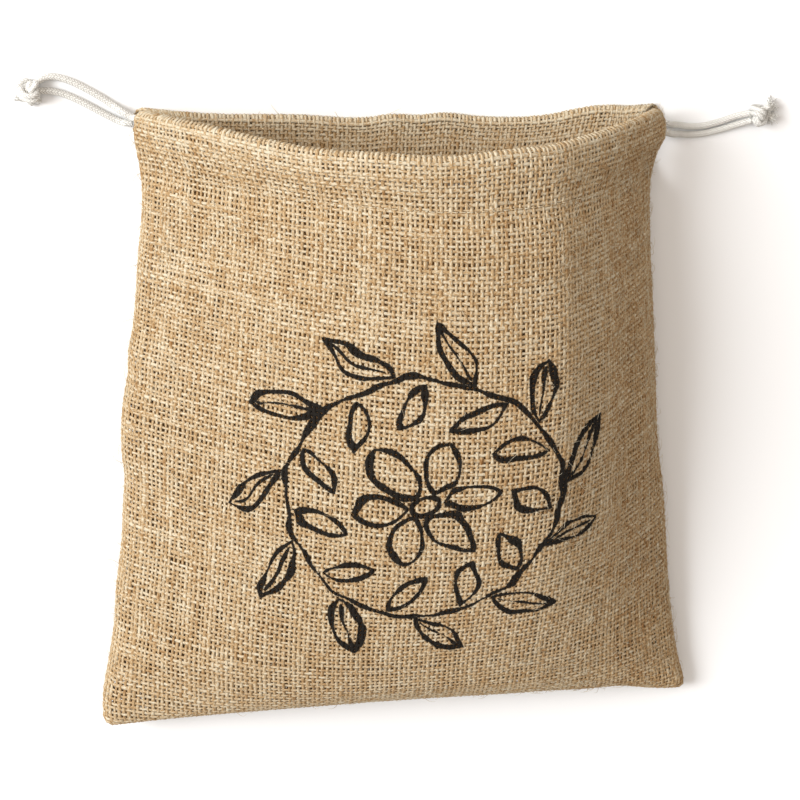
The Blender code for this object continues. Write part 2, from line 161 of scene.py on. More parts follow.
# What the cloth does beyond the CAD's smooth shape, in mm. Lips: share, and how far they sag
LIP_SAGS = {
    "front": ((0.0, 0.9), (0.15, 0.2), (0.23, 1.7), (0.31, 3.1), (0.43, 2.2), (0.53, 2.3),
              (0.62, 0.5), (0.68, 0.8), (0.76, -0.1), (0.86, -0.7), (0.94, 0.6), (1.0, 1.3)),
    "back": ((0.0, 1.3), (0.13, 1.9), (0.31, 1.0), (0.44, 1.5), (0.48, 0.1), (0.53, 0.7),
             (0.58, 0.0), (0.65, 2.2), (0.79, 2.1), (0.83, 0.5), (0.88, -0.3), (0.94, 1.0),
             (1.0, 1.0)),
}
LIP_REACH = 34.0
# Side edges: depth below the fold, and how far they are drawn in
SIDE_WAVES = {
    "left": ((0.0, 1.3), (6.0, 0.2), (34.0, 0.3), (64.0, 0.3), (84.0, 1.7), (101.0, 1.7),
             (112.0, 0.6), (121.0, 1.2), (132.0, 0.0), (157.0, 0.1), (169.0, 1.7), (184.0, 1.4),
             (205.0, 1.2), (226.0, 0.3), (243.0, 0.8), (262.0, -0.4), (278.0, -1.6), (292.0, -0.6)),
    "right": ((0.0, 3.0), (8.0, -0.9), (14.0, -1.7), (19.0, -0.3), (29.0, 0.8), (50.0, 0.0),
              (76.0, 0.8), (120.0, 1.3), (165.0, 1.0), (178.0, -0.3), (227.0, -0.3),
              (255.0, 0.8), (268.0, 1.8), (290.0, 2.0)),
}
SIDE_REACH = 30.0
# Bottom edge: share, and how far it is lifted
BOTTOM_WAVES = ((0.0, 0.0), (0.15, 0.4), (0.30, 1.1), (0.50, 0.9), (0.60, 0.4), (0.67, 0.5),
                (0.72, 1.7), (0.79, 0.9), (0.86, 1.8), (0.92, -0.4), (1.0, -0.6))
BOTTOM_REACH = 26.0
CORNER_HEIGHT = 11.0       # how far up the round of a bottom corner reaches
CORNER_WIDTH = 7.0         # and how far across
CORNER_BLEND = 24.0        # and over how much of the width the cloth is drawn in with it
# Casing, pushed out by its cord and pulled in by its stitches: depth, and how far out
CASING_SWELL = ((0.0, 0.0), (8.0, 0.9), (15.0, 0.3), (22.0, -0.9), (27.0, -0.9), (35.0, 0.2),
                (45.0, 0.5), (62.0, 0.0))
SWELL_FADE = 12.0          # from a side seam, where the cloth begins to stand out
# Soft ridges and troughs: share, depth, reach across, reach along, lean in degrees, height
CREASES = {
    "front": ((0.70, 85.0, 12.0, 80.0, 2.0, 1.8), (0.87, 120.0, 11.0, 60.0, 0.0, -1.4),
              (0.12, 252.0, 38.0, 7.0, 6.0, 0.9), (0.14, 34.0, 30.0, 5.0, -5.0, 0.7),
              (0.30, 62.0, 34.0, 12.0, 8.0, 0.8), (0.55, 270.0, 60.0, 8.0, -3.0, 0.8),
              (0.06, 90.0, 8.0, 24.0, 0.0, -0.8), (0.08, 176.0, 9.0, 20.0, 0.0, -0.8)),
    "back": ((0.64, 6.0, 16.0, 14.0, 0.0, 0.9), (0.48, 8.0, 8.0, 16.0, 0.0, -0.7),
             (0.30, 12.0, 26.0, 18.0, 0.0, 0.6), (0.82, 9.0, 9.0, 18.0, 0.0, -0.7)),
}

# Weave
WARP_YARNS = 132
WEFT_ROWS = 131                # on the outer layer, bottom seam to fold
HEM_ROWS = 18                  # past the fold
FLAT_SIZE = (283 * MM, 300 * MM + HEM_DEPTH)
YARN_HEIGHT = 0.80 * MM        # a yarn is pressed flat
LOWEST = 0.8 * MM              # of the middle of the cloth, lying on the ground
FINE_ACROSS = 141              # places at which a panel's smooth shape is worked out
FINE_ALONG = 161


# ---------------------------------------------------------------- the filled shape, as in the CAD

def through(rows, column, place):
    """A smooth curve through one column of rows, whose first column is the place."""
    rows = np.array(rows)
    places, values = rows[:, 0], rows[:, column]
    slopes = np.gradient(values, places)
    place = np.clip(place, places[0], places[-1])
    i = np.clip(np.searchsorted(places, place, side="right") - 1, 0, len(places) - 2)
    span = places[i + 1] - places[i]
    f = (place - places[i]) / span
    return (values[i] * (1 + 2 * f) * (1 - f) ** 2 + slopes[i] * span * f * (1 - f) ** 2
            + values[i + 1] * f * f * (3 - 2 * f) + slopes[i + 1] * span * f * f * (f - 1))


def section_value(column, along):
    return through(SECTIONS, SECTION_COLUMNS.index(column), along)


def quarter_round(distance, radius):
    """0 at an edge, rising as a quarter circle to 1 at the radius and beyond."""
    left = 1 - np.clip(distance / radius, 0, 1)
    return np.sqrt(np.clip(1 - left * left, 0, 1))


def smooth_step(value, low, high):
    f = np.clip((value - low) / (high - low), 0, 1)
    return f * f * (3 - 2 * f)


def unit(vectors):
    return vectors / np.linalg.norm(vectors, axis=-1, keepdims=True)


def plan(across, along, lip_bow):
    """X and Y of a place on a panel, and the sack's width there."""
    left = section_value("left", along) * MM
    right = section_value("right", along) * MM
    middle = 4 * across * (1 - across)
    bottom = BOTTOM_LEFT_Y + (BOTTOM_RIGHT_Y - BOTTOM_LEFT_Y) * across + BOTTOM_DRAWN_IN * middle
    mouth = MOUTH_LEFT_Y + (MOUTH_RIGHT_Y - MOUTH_LEFT_Y) * across + lip_bow * middle
    return left + (right - left) * across, bottom + (mouth - bottom) * along, right - left


def seam_height(across, along):
    left = section_value("left_height", along) * MM
    right = section_value("right_height", along) * MM
    return left + (right - left) * across


def edge_round(across, along, width, radius):
    """0 on the side and bottom seams, 1 inside them."""
    return (quarter_round(across * width, radius) * quarter_round((1 - across) * width, radius)
            * quarter_round(along * PANEL_LENGTH, radius))


def front_surface(across, along):
    x, y, width = plan(across, along, FRONT_LIP_BOW)
    crest = section_value("crest", along)
    from_crest = np.where(across < crest, (crest - across) / crest, (across - crest) / (1 - crest))
    length = along * PANEL_LENGTH
    power = np.where(across < crest, LEFT_POWER, RIGHT_POWER)
    power = power + BOTTOM_POWER * np.exp(-length / BOTTOM_FADE)
    soft = CREST_SOFTNESS
    drop = (from_crest ** 2 + soft ** 2) ** (power / 2) - soft ** power
    drop = drop / ((1 + soft ** 2) ** (power / 2) - soft ** power)
    bulge = BULGE * quarter_round(length, NOSE_LENGTH) * np.clip(1 - drop, 0, 1)
    slit = smooth_step(along, SIDE_SLIT, SIDE_SLIT_FULL)
    hem_round = (smooth_step(across * width, 0, HEM_SIDE_ROUND)
                 * smooth_step((1 - across) * width, 0, HEM_SIDE_ROUND))
    seam_round = edge_round(across, along, width, EDGE_RADIUS)
    lift = EDGE_LIFT * (seam_round * (1 - slit) + hem_round * slit)
    z = seam_height(across, along) + SEAM_GAP / 2 + bulge + lift
    return np.stack([x, y, z], axis=-1)


def back_surface(across, along):
    x, y, width = plan(across, along, BACK_LIP_BOW)
    slit = smooth_step(along, SIDE_SLIT, SIDE_SLIT_FULL)
    rise = 1 - edge_round(across, along, width, BACK_RADIUS)
    ground = CLOTH_THICKNESS / 2
    height = seam_height(across, along) - SEAM_GAP / 2 - ground
    return np.stack([x, y, ground + height * rise * (1 - slit)], axis=-1)


def spread_evenly(points, shares):
    """Points along a polyline at shares of its length."""
    steps = np.linalg.norm(np.diff(points, axis=0), axis=1)
    places = np.concatenate([[0.0], np.cumsum(steps)])
    places = places / places[-1]
    return np.stack([np.interp(shares, places, points[:, k]) for k in range(3)], axis=-1)


class Panel:
    """A panel's cloth, laid out evenly by share of its width and by distance below the fold."""

    def __init__(self, side, surface, outwards):
        self.side = side
        across = 0.5 - 0.5 * np.cos(np.linspace(0, math.pi, FINE_ACROSS))
        along = 1 - np.cos(np.linspace(0, math.pi / 2, FINE_ALONG))
        along[-1] = 1.0
        grid = surface(*np.meshgrid(across, along)) + CAD_SHIFT
        even = np.linspace(0, 1, FINE_ACROSS)
        for j in range(len(along)):
            grid[j] = spread_evenly(grid[j], even)
        grid = grid[::-1]
        self.width = np.linalg.norm(np.diff(grid[0], axis=0), axis=1).sum()
        self.lengths = np.zeros(FINE_ACROSS)
        for i in range(FINE_ACROSS):
            self.lengths[i] = np.linalg.norm(np.diff(grid[:, i], axis=0), axis=1).sum()
            grid[:, i] = spread_evenly(grid[:, i], np.linspace(0, 1, FINE_ALONG))
        self.grid = grid
        down = np.gradient(grid, axis=0)
        normal = np.cross(down, np.gradient(grid, axis=1))
        if (normal[:, :, 2].mean() > 0) != (outwards > 0):
            normal = -normal
        self.normals = unit(normal)
        self.downs = unit(down)

    def length(self, share):
        return np.interp(share, np.linspace(0, 1, FINE_ACROSS), self.lengths)

    def read(self, table, share, depth):
        """A table's value at shares of the width and depths below the fold."""
        i = np.clip(share, 0, 1) * (FINE_ACROSS - 1)
        j = np.clip(depth / self.length(share), 0, 1) * (FINE_ALONG - 1)
        i0 = np.clip(np.floor(i).astype(int), 0, FINE_ACROSS - 2)
        j0 = np.clip(np.floor(j).astype(int), 0, FINE_ALONG - 2)
        fi = (i - i0)[..., None]
        fj = (j - j0)[..., None]
        upper = table[j0, i0] * (1 - fi) + table[j0, i0 + 1] * fi
        lower = table[j0 + 1, i0] * (1 - fi) + table[j0 + 1, i0 + 1] * fi
        return upper * (1 - fj) + lower * fj

    def point(self, share, depth):
        return self.read(self.grid, share, depth)

    def normal(self, share, depth):
        return unit(self.read(self.normals, share, depth))

    def up(self, share, depth):
        """The way along the cloth towards the fold."""
        return unit(-self.read(self.downs, share, depth))

    def swell(self, share, depth):
        """How far the cloth stands out of its smooth shape."""
        out = through(CASING_SWELL, 1, depth / MM)
        for middle, low, across, along, lean, height in CREASES[self.side]:
            x = (share - middle) * self.width / MM
            y = depth / MM - low
            turn = math.radians(lean)
            beside = x * math.cos(turn) - y * math.sin(turn)
            beyond = x * math.sin(turn) + y * math.cos(turn)
            out = out + height * np.exp(-(beside / across) ** 2 - (beyond / along) ** 2)
        from_left, from_right = share * self.width, (1 - share) * self.width
        return (out * MM * smooth_step(from_left, 0, SWELL_FADE * MM)
                * smooth_step(from_right, 0, SWELL_FADE * MM))

    def waves(self, share, depth, up):
        """How far the edges wander from their smooth lines."""
        from_left = share * self.width
        from_right = (1 - share) * self.width
        from_bottom = self.length(share) - depth
        near_left = 1 - smooth_step(from_left, 0, SIDE_REACH * MM)
        near_right = 1 - smooth_step(from_right, 0, SIDE_REACH * MM)
        near_lip = 1 - smooth_step(depth, 0, LIP_REACH * MM)
        near_bottom = 1 - smooth_step(from_bottom, 0, BOTTOM_REACH * MM)
        inward = (through(SIDE_WAVES["left"], 1, depth / MM) * near_left
                  - through(SIDE_WAVES["right"], 1, depth / MM) * near_right)
        lifted = through(BOTTOM_WAVES, 1, share) * near_bottom
        moved = -up * (through(LIP_SAGS[self.side], 1, share) * near_lip)[..., None]
        moved[..., 0] += inward
        moved[..., 1] += lifted
        return moved * MM

    def cloth(self, share, run):
        """Middle and outward way of the cloth at a run from the fold's top: down the outer layer
        where run is positive, down the turned layer where it is negative."""
        radius = CASING_HEIGHT / 2
        quarter = radius * math.pi / 2
        turn = np.clip((quarter - run) / radius, 0, math.pi)
        depth = radius + np.maximum(np.abs(run) - quarter, 0)
        from_bottom = np.clip((self.length(share) - depth) / (CORNER_HEIGHT * MM), 0, 1)
        corner = CORNER_WIDTH * (1 - np.sqrt(1 - (1 - from_bottom) ** 2))
        cut = np.maximum(HEM_CUT_BACK * turn / math.pi, corner * MM) / self.width
        blend = np.where(corner > 0, CORNER_BLEND * MM, HEM_CUT_BLEND) / self.width
        place = drawn_in(share, cut, blend)
        out = self.normal(place, depth)
        up = self.up(place, depth)
        way = out * np.cos(turn)[..., None] + up * np.sin(turn)[..., None]
        height = np.where(run < 0, layer_height(depth), CASING_HEIGHT)
        gap = np.where(turn < math.pi, radius * (1 - np.cos(turn)), height)
        lift = np.where(turn < math.pi, radius * np.sin(turn), 0.0)
        middle = (self.point(place, depth) + out * (self.swell(place, depth) - gap)[..., None]
                  + up * lift[..., None] + self.waves(share, depth, up))
        middle[..., 2] = np.maximum(middle[..., 2], LOWEST)
        return middle, way


def drawn_in(share, cut, blend):
    """Shares moved in from both side edges by cut, and less and less so up to blend from them."""
    squeeze = (blend - cut) / blend
    inner = np.where(share < blend, cut + share * squeeze, share)
    return np.where(share > 1 - blend, 1 - cut - (1 - share) * squeeze, inner)


def layer_height(depth):
    """How far the turned layer lies from the outer one, at a depth below the fold."""
    closing = smooth_step(depth, CLOSING_DEPTH, CASING_DEPTH)
    return CASING_HEIGHT + (HUG_HEIGHT - CASING_HEIGHT) * closing


PANELS = {"front": Panel("front", front_surface, 1), "back": Panel("back", back_surface, -1)}


# ---------------------------------------------------------------- meshes

MAP_FILL = 0.94                # of a tube's column on the map; the rest is a margin


def new_mesh(name, vertices, faces, material):
    """A smooth mesh piece that rides on the body."""
    mesh = bpy.data.meshes.new(name)
    mesh.from_pydata(vertices.tolist(), [], faces)
    mesh.materials.append(material)
    mesh.shade_smooth()
    piece = bpy.data.objects.new(name, mesh)
    bpy.context.collection.objects.link(piece)
    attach(piece, BODY)
    return piece


def set_attribute(piece, name, values):
    """A number or a vector at each vertex, for the materials to read."""
    kind = "FLOAT_VECTOR" if values.ndim == 2 else "FLOAT"
    made = piece.data.attributes.new(name, kind, "POINT")
    made.data.foreach_set("vector" if values.ndim == 2 else "value",
                          values.astype(np.float32).ravel())


def ring(sides):
    """Cosines and sines round a tube with one corner on top, as far round as a true circle."""
    angles = math.pi / 2 + np.arange(sides) * 2 * math.pi / sides
    grown = math.pi / sides / math.sin(math.pi / sides)
    return grown * np.cos(angles), grown * np.sin(angles)


def tube_rings(centres, normals, half_width, half_height, sides):
    """Rings of a row of flat tubes, as (tubes, places, sides, 3)."""
    along = unit(np.gradient(centres, axis=1))
    across = unit(np.cross(along, normals))
    up = np.cross(across, along)
    cosines, sines = ring(sides)
    return (centres[:, :, None]
            + across[:, :, None] * (half_width[..., None] * cosines)[..., None]
            + up[:, :, None] * (half_height[..., None] * sines)[..., None])


def tube_faces(tubes, places, sides):
    """Side faces and end caps of a row of tubes, and each corner's place on the flat map."""
    first = np.arange(tubes * places).reshape(tubes, places) * sides
    k = np.arange(sides)
    after = (k + 1) % sides
    low, high = first[:, :-1, None], first[:, 1:, None]
    quads = np.stack([low + k, low + after, high + after, high + k], axis=-1)
    caps_low = (first[:, :1] + k[::-1]).tolist()
    caps_high = (first[:, -1:] + k).tolist()
    faces = quads.reshape(-1, 4).tolist() + caps_low + caps_high

    column = (np.arange(tubes)[:, None, None, None]
              + (np.array([0, 1, 1, 0]) + k[:, None]) * MAP_FILL / sides) / tubes
    row = (np.arange(places - 1)[:, None, None] + np.array([0, 0, 1, 1])) / (places - 1)
    u = np.broadcast_to(column, quads.shape)
    v = np.broadcast_to(row, quads.shape)
    sides_map = np.stack([u, v], axis=-1).reshape(-1, 2)
    margin = np.repeat(np.arange(tubes) / tubes, sides)
    caps = [np.stack([margin, np.full(tubes * sides, end)], axis=-1) for end in (0.0, 1.0)]
    return faces, np.concatenate([sides_map, *caps])


def set_map(piece, places):
    layer = piece.data.uv_layers.new(name="OFBake")
    layer.uv.foreach_set("vector", places.astype(np.float32).ravel())


# ---------------------------------------------------------------- the weave

YARN_WIDTHS = (1.53 * MM, 1.52 * MM)      # warp and weft
YARN_SIDES = {"front": 5, "back": 4}
CRIMP = 0.22                   # of a yarn's height, how far it rises over the next one
WARP_SHIFT = 0.08 * MM         # each yarn's own place off the even grid
WARP_WANDER = 0.10 * MM        # and how far it wanders from that
WEFT_SHIFT = 0.11 * MM
WEFT_WANDER = 0.15 * MM
WANDER_REACH = 9               # crossings over which a yarn wanders
WEFT_BUNCHED = 0.26 * MM       # how far rows of weft are beaten up in groups
BUNCH_REACH = 3                # rows
CROSSING_SHIFT = 0.07 * MM     # at each crossing by itself
CLOSER_ROWS = 0.91             # the rows' spacing near the mouth, of that lower down
CLOSER_UNTIL = (0.25, 0.5)     # of the way down: it holds to the first and is over by the second
YARN_VARIES = 0.10             # of its width, yarn by yarn and along it
YARN_ROUGH = 0.11              # of its width, from one crossing to the next
YARN_REACH = 3                 # crossings over which its width changes
SLUBS = 0.40                   # a thick stretch is this much wider
SLUB_BARS = (1.8, 2.5)         # how rare they are: of a unit random line, to begin and to be whole
SLUB_REACH = 5
WIDTH_LIMITS = (0.62, 1.6)
FOLD_FLOAT = 5.2 * MM          # the warp floats over the weft on the fold, this far
FOLD_FLOAT_MIDDLE = 0.4 * MM
FOLD_OVER = (1.4, -1.8)        # of the crimp, how high the warp and the weft lie there
END_TUCK = 0.9 * MM            # the yarns' ends turn in at the seams
YARN_APART = 0.731             # metres between two yarns in the fibre pattern, so that none repeat

# How light the yarns are, about 0 to 1, with painted light: the weft lighter than the warp, a
# painted highlight on its tops, and the back lighter than the front, painted light on the shaded
# inside of the sack
YARN_LEVELS_WITH_PAINTED_LIGHT = {"front": (0.49, 0.54), "back": (0.54, 0.58)}    # warp and weft
OVER_PAINTED_HIGHLIGHT = (0.03, 0.04)    # painted highlight where the warp and the weft lie on top, painted shade where they dip under
TONE_OWN = 0.025               # yarn by yarn
TONE_LONG, LONG_REACH = 0.035, 12         # along it, and over how many crossings
TONE_SHORT, SHORT_REACH = 0.05, 1
TONE_CROSSING = 0.06           # from one crossing to the next
LIP_LIGHTER = 0.10             # the cloth is paler at the fold
LIP_PALE_REACH = 9 * MM
FLANK_PAINTED_SHADE = {"front": 0.07, "back": 0.0}       # painted shade, taken off the tone on the flank at the right, which is turned from the light
FLANK_SHADE_FROM = (0.74, 0.90)      # shares across, where the painted shade begins and where it is whole


def wander(rng, lines, places, reach):
    """Smooth random lines of about unit size, each place like its neighbours within reach."""
    kernel = np.hanning(2 * reach + 3)
    kernel = kernel / np.sqrt((kernel ** 2).sum())
    raw = rng.normal(size=(lines, places + len(kernel) - 1))
    return np.array([np.convolve(row, kernel, "valid") for row in raw])


def row_places(rows):
    """Places of the weft rows, of the way from the fold to the bottom seam, and past the fold."""
    even = 1 - (np.arange(rows) + 0.5) / WEFT_ROWS
    place = np.linspace(0, 1, 201)
    spacing = CLOSER_ROWS + (1 - CLOSER_ROWS) * smooth_step(place, *CLOSER_UNTIL)
    counted = np.concatenate([[0.0], np.cumsum(1 / spacing[1:])])
    counted /= counted[-1]
    return np.where(even > 0, np.interp(even, counted, place), even * place[1] / counted[1])


class Weave:
    """Where the yarns of one panel cross."""

    def __init__(self, side, rng):
        panel = PANELS[side]
        rows = WEFT_ROWS + HEM_ROWS
        warp_off = (WARP_SHIFT * rng.normal(size=(WARP_YARNS, 1))
                    + WARP_WANDER * wander(rng, WARP_YARNS, rows, WANDER_REACH))
        weft_off = (WEFT_SHIFT * rng.normal(size=(rows, 1))
                    + WEFT_BUNCHED * wander(rng, 1, rows, BUNCH_REACH).T
                    + WEFT_WANDER * wander(rng, rows, WARP_YARNS, WANDER_REACH))
        warp_off += CROSSING_SHIFT * rng.normal(size=warp_off.shape)
        weft_off += CROSSING_SHIFT * rng.normal(size=weft_off.shape)
        share = (np.arange(WARP_YARNS) + 0.5) / WARP_YARNS + warp_off.T / panel.width
        self.share = np.clip(share, 0.001, 0.999)
        quarter = CASING_HEIGHT / 2 * math.pi / 2
        self.reach = panel.length(self.share) - CASING_HEIGHT / 2 + quarter
        self.run = self.reach * row_places(rows)[:, None] + weft_off
        self.panel = panel

    def ends(self, share, run, axis):
        """The crossings with one more place beyond each end of the yarns."""
        if axis == 0:
            first = self.reach[:1]
            last = run[-1:] - (run[-2:-1] - run[-1:]) / 2
            return (np.concatenate([share[:1], share, share[-1:]]),
                    np.concatenate([first, run, last]))
        return (np.concatenate([0 * share[:, :1], share, 0 * share[:, -1:] + 1], axis=1),
                np.concatenate([run[:, :1], run, run[:, -1:]], axis=1))


def yarn_widths(rng, yarns, places, width):
    """Half widths: uneven from yarn to yarn and along each, with a few slubs."""
    own = 1 + YARN_VARIES * rng.normal(size=(yarns, 1))
    along = YARN_VARIES * wander(rng, yarns, places, YARN_REACH)
    rough = YARN_ROUGH * rng.normal(size=(yarns, places))
    slubs = SLUBS * smooth_step(wander(rng, yarns, places, SLUB_REACH), *SLUB_BARS)
    return width / 2 * np.clip(own + along + rough + slubs, *WIDTH_LIMITS)


def yarn_tones(rng, yarns, places, level):
    """How light each yarn is along its length, about 0 to 1."""
    return (level + TONE_OWN * rng.normal(size=(yarns, 1))
            + TONE_LONG * wander(rng, yarns, places, LONG_REACH)
            + TONE_SHORT * wander(rng, yarns, places, SHORT_REACH)
            + TONE_CROSSING * rng.normal(size=(yarns, places)))


def over_and_under(run, axis):
    """1 where warp (axis 0) or weft (axis 1) lies on top, -1 where it lies below, and where its
    two ends are."""
    row, column = np.indices(run.shape)
    over = np.where((row + column - 1) % 2 == axis, 1.0, -1.0)
    ends = np.zeros(run.shape, dtype=bool)
    ends.swapaxes(0, axis)[[0, -1]] = True
    over[ends] = 0.0
    on_fold = (np.abs(run - FOLD_FLOAT_MIDDLE) < FOLD_FLOAT / 2) & ~ends
    over[on_fold] = FOLD_OVER[axis]
    return over, ends


def lay_yarns(name, weave, rng, axis):
    """One set of yarns, warp (axis 0) or weft (axis 1), over and under the other."""
    side = weave.panel.side
    sides = YARN_SIDES[side]
    share, run = weave.ends(weave.share, weave.run, axis)
    middle, out = weave.panel.cloth(share, run)
    over, ends = over_and_under(run, axis)
    middle = middle + out * (over * YARN_HEIGHT * CRIMP - ends * END_TUCK)[..., None]
    if axis == 0:
        middle, out = middle.transpose(1, 0, 2), out.transpose(1, 0, 2)
        share, run, over = share.T, run.T, over.T
    yarns, places = share.shape
    width = YARN_WIDTHS[axis]
    half_width = yarn_widths(rng, yarns, places, width)
    half_height = YARN_HEIGHT / 2 * np.sqrt(half_width / (width / 2))
    rings = tube_rings(middle, out, half_width, half_height, sides)
    faces, places_on_map = tube_faces(yarns, places, sides)
    piece = new_mesh(name, rings.reshape(-1, 3), faces, jute_hessian(side))
    set_map(piece, places_on_map)

    steps = np.linalg.norm(np.diff(middle, axis=1, prepend=middle[:, :1]), axis=-1)
    along = np.cumsum(steps, axis=1)
    around = np.broadcast_to(np.stack(ring(sides), axis=-1),
                             (yarns, places, sides, 2)) * YARN_HEIGHT
    offset = np.arange(yarns)[:, None] * YARN_APART
    fibre = np.concatenate([around, np.broadcast_to((along + offset)[:, :, None, None],
                                                    (yarns, places, sides, 1))], axis=-1)
    set_attribute(piece, "fibre", fibre.reshape(-1, 3))
    flat = np.stack([(share - 0.5) * FLAT_SIZE[0], -run], axis=-1)
    beside = half_width[..., None] * ring(sides)[0]
    cloth = np.zeros((yarns, places, sides, 3))
    cloth[..., :2] = flat[:, :, None]
    cloth[..., axis] += beside if axis == 0 else -beside
    set_attribute(piece, "cloth", cloth.reshape(-1, 3))
    # Tone: random yarn by yarn and along it, with a painted highlight where a yarn lies on top,
    # painted shade where it dips under and on the flank turned from the light, and paler at the
    # fold
    tones = (yarn_tones(rng, yarns, places, YARN_LEVELS_WITH_PAINTED_LIGHT[side][axis]) + OVER_PAINTED_HIGHLIGHT[axis] * over
             + LIP_LIGHTER * np.exp(-(run / LIP_PALE_REACH) ** 2)
             - FLANK_PAINTED_SHADE[side] * smooth_step(share, *FLANK_SHADE_FROM))
    set_attribute(piece, "tone", np.repeat(tones.ravel(), sides))
    return piece


# ---------------------------------------------------------------- hem stitches and loose fibres

STITCH_LENGTH = 3.2 * MM
STITCH_STEP = 0.4 * MM         # between two places of the thread
STITCH_THREAD = 0.45 * MM      # its thickness
STITCH_INSET = 7 * MM          # from the side seams
STITCH_SIDES = 6
STITCH_RISE = 0.85             # of a yarn's height, above the middle of the cloth
STITCH_DIP = 2.2               # of a yarn's height, down into the cloth between two stitches
STITCH_BENT = (0.34, 0.5)      # of a stitch, from its middle: where the thread goes down
STITCH_TONE = 0.62


def hem_stitches(side):
    """One running seam through both layers of a hem, all round below the cord."""
    panel = PANELS[side]
    run = CASING_DEPTH - CASING_HEIGHT / 2 + CASING_HEIGHT / 2 * math.pi / 2
    length = panel.width - 2 * STITCH_INSET
    count = round(length / STITCH_STEP)
    inset = STITCH_INSET / panel.width
    share = np.linspace(inset, 1 - inset, count)
    middle, out = panel.cloth(share, np.full(count, run))
    phase = np.linspace(0, length / STITCH_LENGTH, count) % 1
    dip = smooth_step(np.abs(phase - 0.5), *STITCH_BENT)
    points = middle + out * (YARN_HEIGHT * (STITCH_RISE - STITCH_DIP * dip))[:, None]
    half = np.full((1, count), STITCH_THREAD / 2)
    rings = tube_rings(points[None], out[None], half, half, STITCH_SIDES)
    faces, on_map = tube_faces(1, count, STITCH_SIDES)
    piece = new_mesh(f"hem_stitches_{side}", rings.reshape(-1, 3), faces, jute_hessian("back"))
    set_map(piece, on_map)
    along = np.linspace(0, length, count)
    fibre = np.stack([np.zeros(count), np.full(count, YARN_HEIGHT), along], axis=-1)
    set_attribute(piece, "fibre", np.repeat(fibre, STITCH_SIDES, axis=0))
    set_attribute(piece, "tone", np.full(count * STITCH_SIDES, STITCH_TONE))


FIBRE_SHARES = {"front": 1.0, "back": 0.2}        # of the number asked for
FLANK_FIBRES = {"front": 0.68, "back": 0.2}       # of them, on the flank on the right
FLANK = (0.68, 1.0)
FIBRE_SPREAD = 0.6             # beta, across the panel: below 1 there are more at the sides
FIBRES_STOP = 9 * MM           # short of the bottom seam
FIBRE_JOINTS = 6
FIBRE_SIDES = 3
FIBRE_LENGTHS = (2 * MM, 11 * MM)
FIBRE_SHORTER = (0.9, 3.4)     # beta: most of them are short
FIBRE_ROOT = 0.7               # of a yarn's height, above the middle of the cloth
FIBRE_BEND = 0.6               # of its length, how far a fibre curves aside
FIBRE_RISE = 0.32              # of its length, how far it stands up at most
FIBRE_ARCH = 2.3               # radians of its arch
FIBRE_TIP = 0.4                # of its thickness at the root
FIBRE_TONES = (0.86, 0.14)     # middle and spread
NEXT_ACROSS = 0.01             # of the width, to the place beside a root that gives the way across
NEXT_DOWN = 3 * MM             # to the place below it that gives the way down


def loose_fibres(side, count, thickness, rng):
    """Hairs of jute that stand out of the yarns, most of them on the flank and at the sides."""
    panel = PANELS[side]
    share = rng.beta(FIBRE_SPREAD, FIBRE_SPREAD, count)
    flank = rng.uniform(size=count) < FLANK_FIBRES[side]
    share = np.where(flank, rng.uniform(*FLANK, count), share)
    run = rng.uniform(0.0, 1.0, count) * (panel.length(share) - FIBRES_STOP)
    root, out = panel.cloth(share, run)
    beside, _ = panel.cloth(np.clip(share + NEXT_ACROSS, 0, 1), run)
    below, _ = panel.cloth(share, run + NEXT_DOWN)
    across, down = unit(beside - root), unit(below - root)
    turn = rng.uniform(0, 2 * math.pi, count)[:, None]
    ahead = across * np.cos(turn) + down * np.sin(turn)
    aside = down * np.cos(turn) - across * np.sin(turn)
    low, high = FIBRE_LENGTHS
    length = low + (high - low) * rng.beta(*FIBRE_SHORTER, count)[:, None]
    bend = rng.normal(0, FIBRE_BEND, (count, 1))
    rise = rng.uniform(0.0, FIBRE_RISE, (count, 1))
    points = []
    for t in np.linspace(0, 1, FIBRE_JOINTS):
        lift = YARN_HEIGHT * FIBRE_ROOT + length * rise * math.sin(FIBRE_ARCH * t)
        points.append(root + ahead * length * t + aside * length * bend * t * t + out * lift)
    points = np.stack(points, axis=1)
    points[..., 2] = np.maximum(points[..., 2], thickness)
    thick = thickness / 2 * np.linspace(1, FIBRE_TIP, FIBRE_JOINTS) * np.ones((count, 1))
    outwards = np.repeat(out[:, None], FIBRE_JOINTS, axis=1)
    rings = tube_rings(points, outwards, thick, thick, FIBRE_SIDES)
    faces, on_map = tube_faces(count, FIBRE_JOINTS, FIBRE_SIDES)
    piece = new_mesh(f"loose_fibres_{side}", rings.reshape(-1, 3), faces, jute_hessian(side))
    set_map(piece, on_map)
    corners = FIBRE_JOINTS * FIBRE_SIDES
    fibre = np.zeros((count, corners, 3))
    fibre[..., 1] = YARN_HEIGHT
    fibre[..., 2] = np.arange(count)[:, None] * YARN_APART
    set_attribute(piece, "fibre", fibre.reshape(-1, 3))
    run_out = (length * np.linspace(0, 1, FIBRE_JOINTS))[..., None]
    flat = (np.stack([(share - 0.5) * FLAT_SIZE[0], -run, 0 * run], axis=-1)[:, None]
            + run_out * np.stack([np.cos(turn), -np.sin(turn), 0 * turn], axis=-1))
    set_attribute(piece, "cloth", np.repeat(flat.reshape(-1, 3), FIBRE_SIDES, axis=0))
    tones = rng.normal(*FIBRE_TONES, (count, 1)) + np.zeros((1, corners))
    # painted shade on the flank turned from the light, as on the yarns
    tones = tones - (FLANK_PAINTED_SHADE[side] * smooth_step(share, *FLANK_SHADE_FROM))[:, None]
    set_attribute(piece, "tone", tones.ravel())


# ---------------------------------------------------------------- cords

CURVE_STEPS = 12               # between two points of a route, before they are spread evenly
END_DIPS = 0.45                # of its height, where an end of the braid goes under
WAYS_APART = 0.37              # metres in the fibre pattern, between the ends of each way


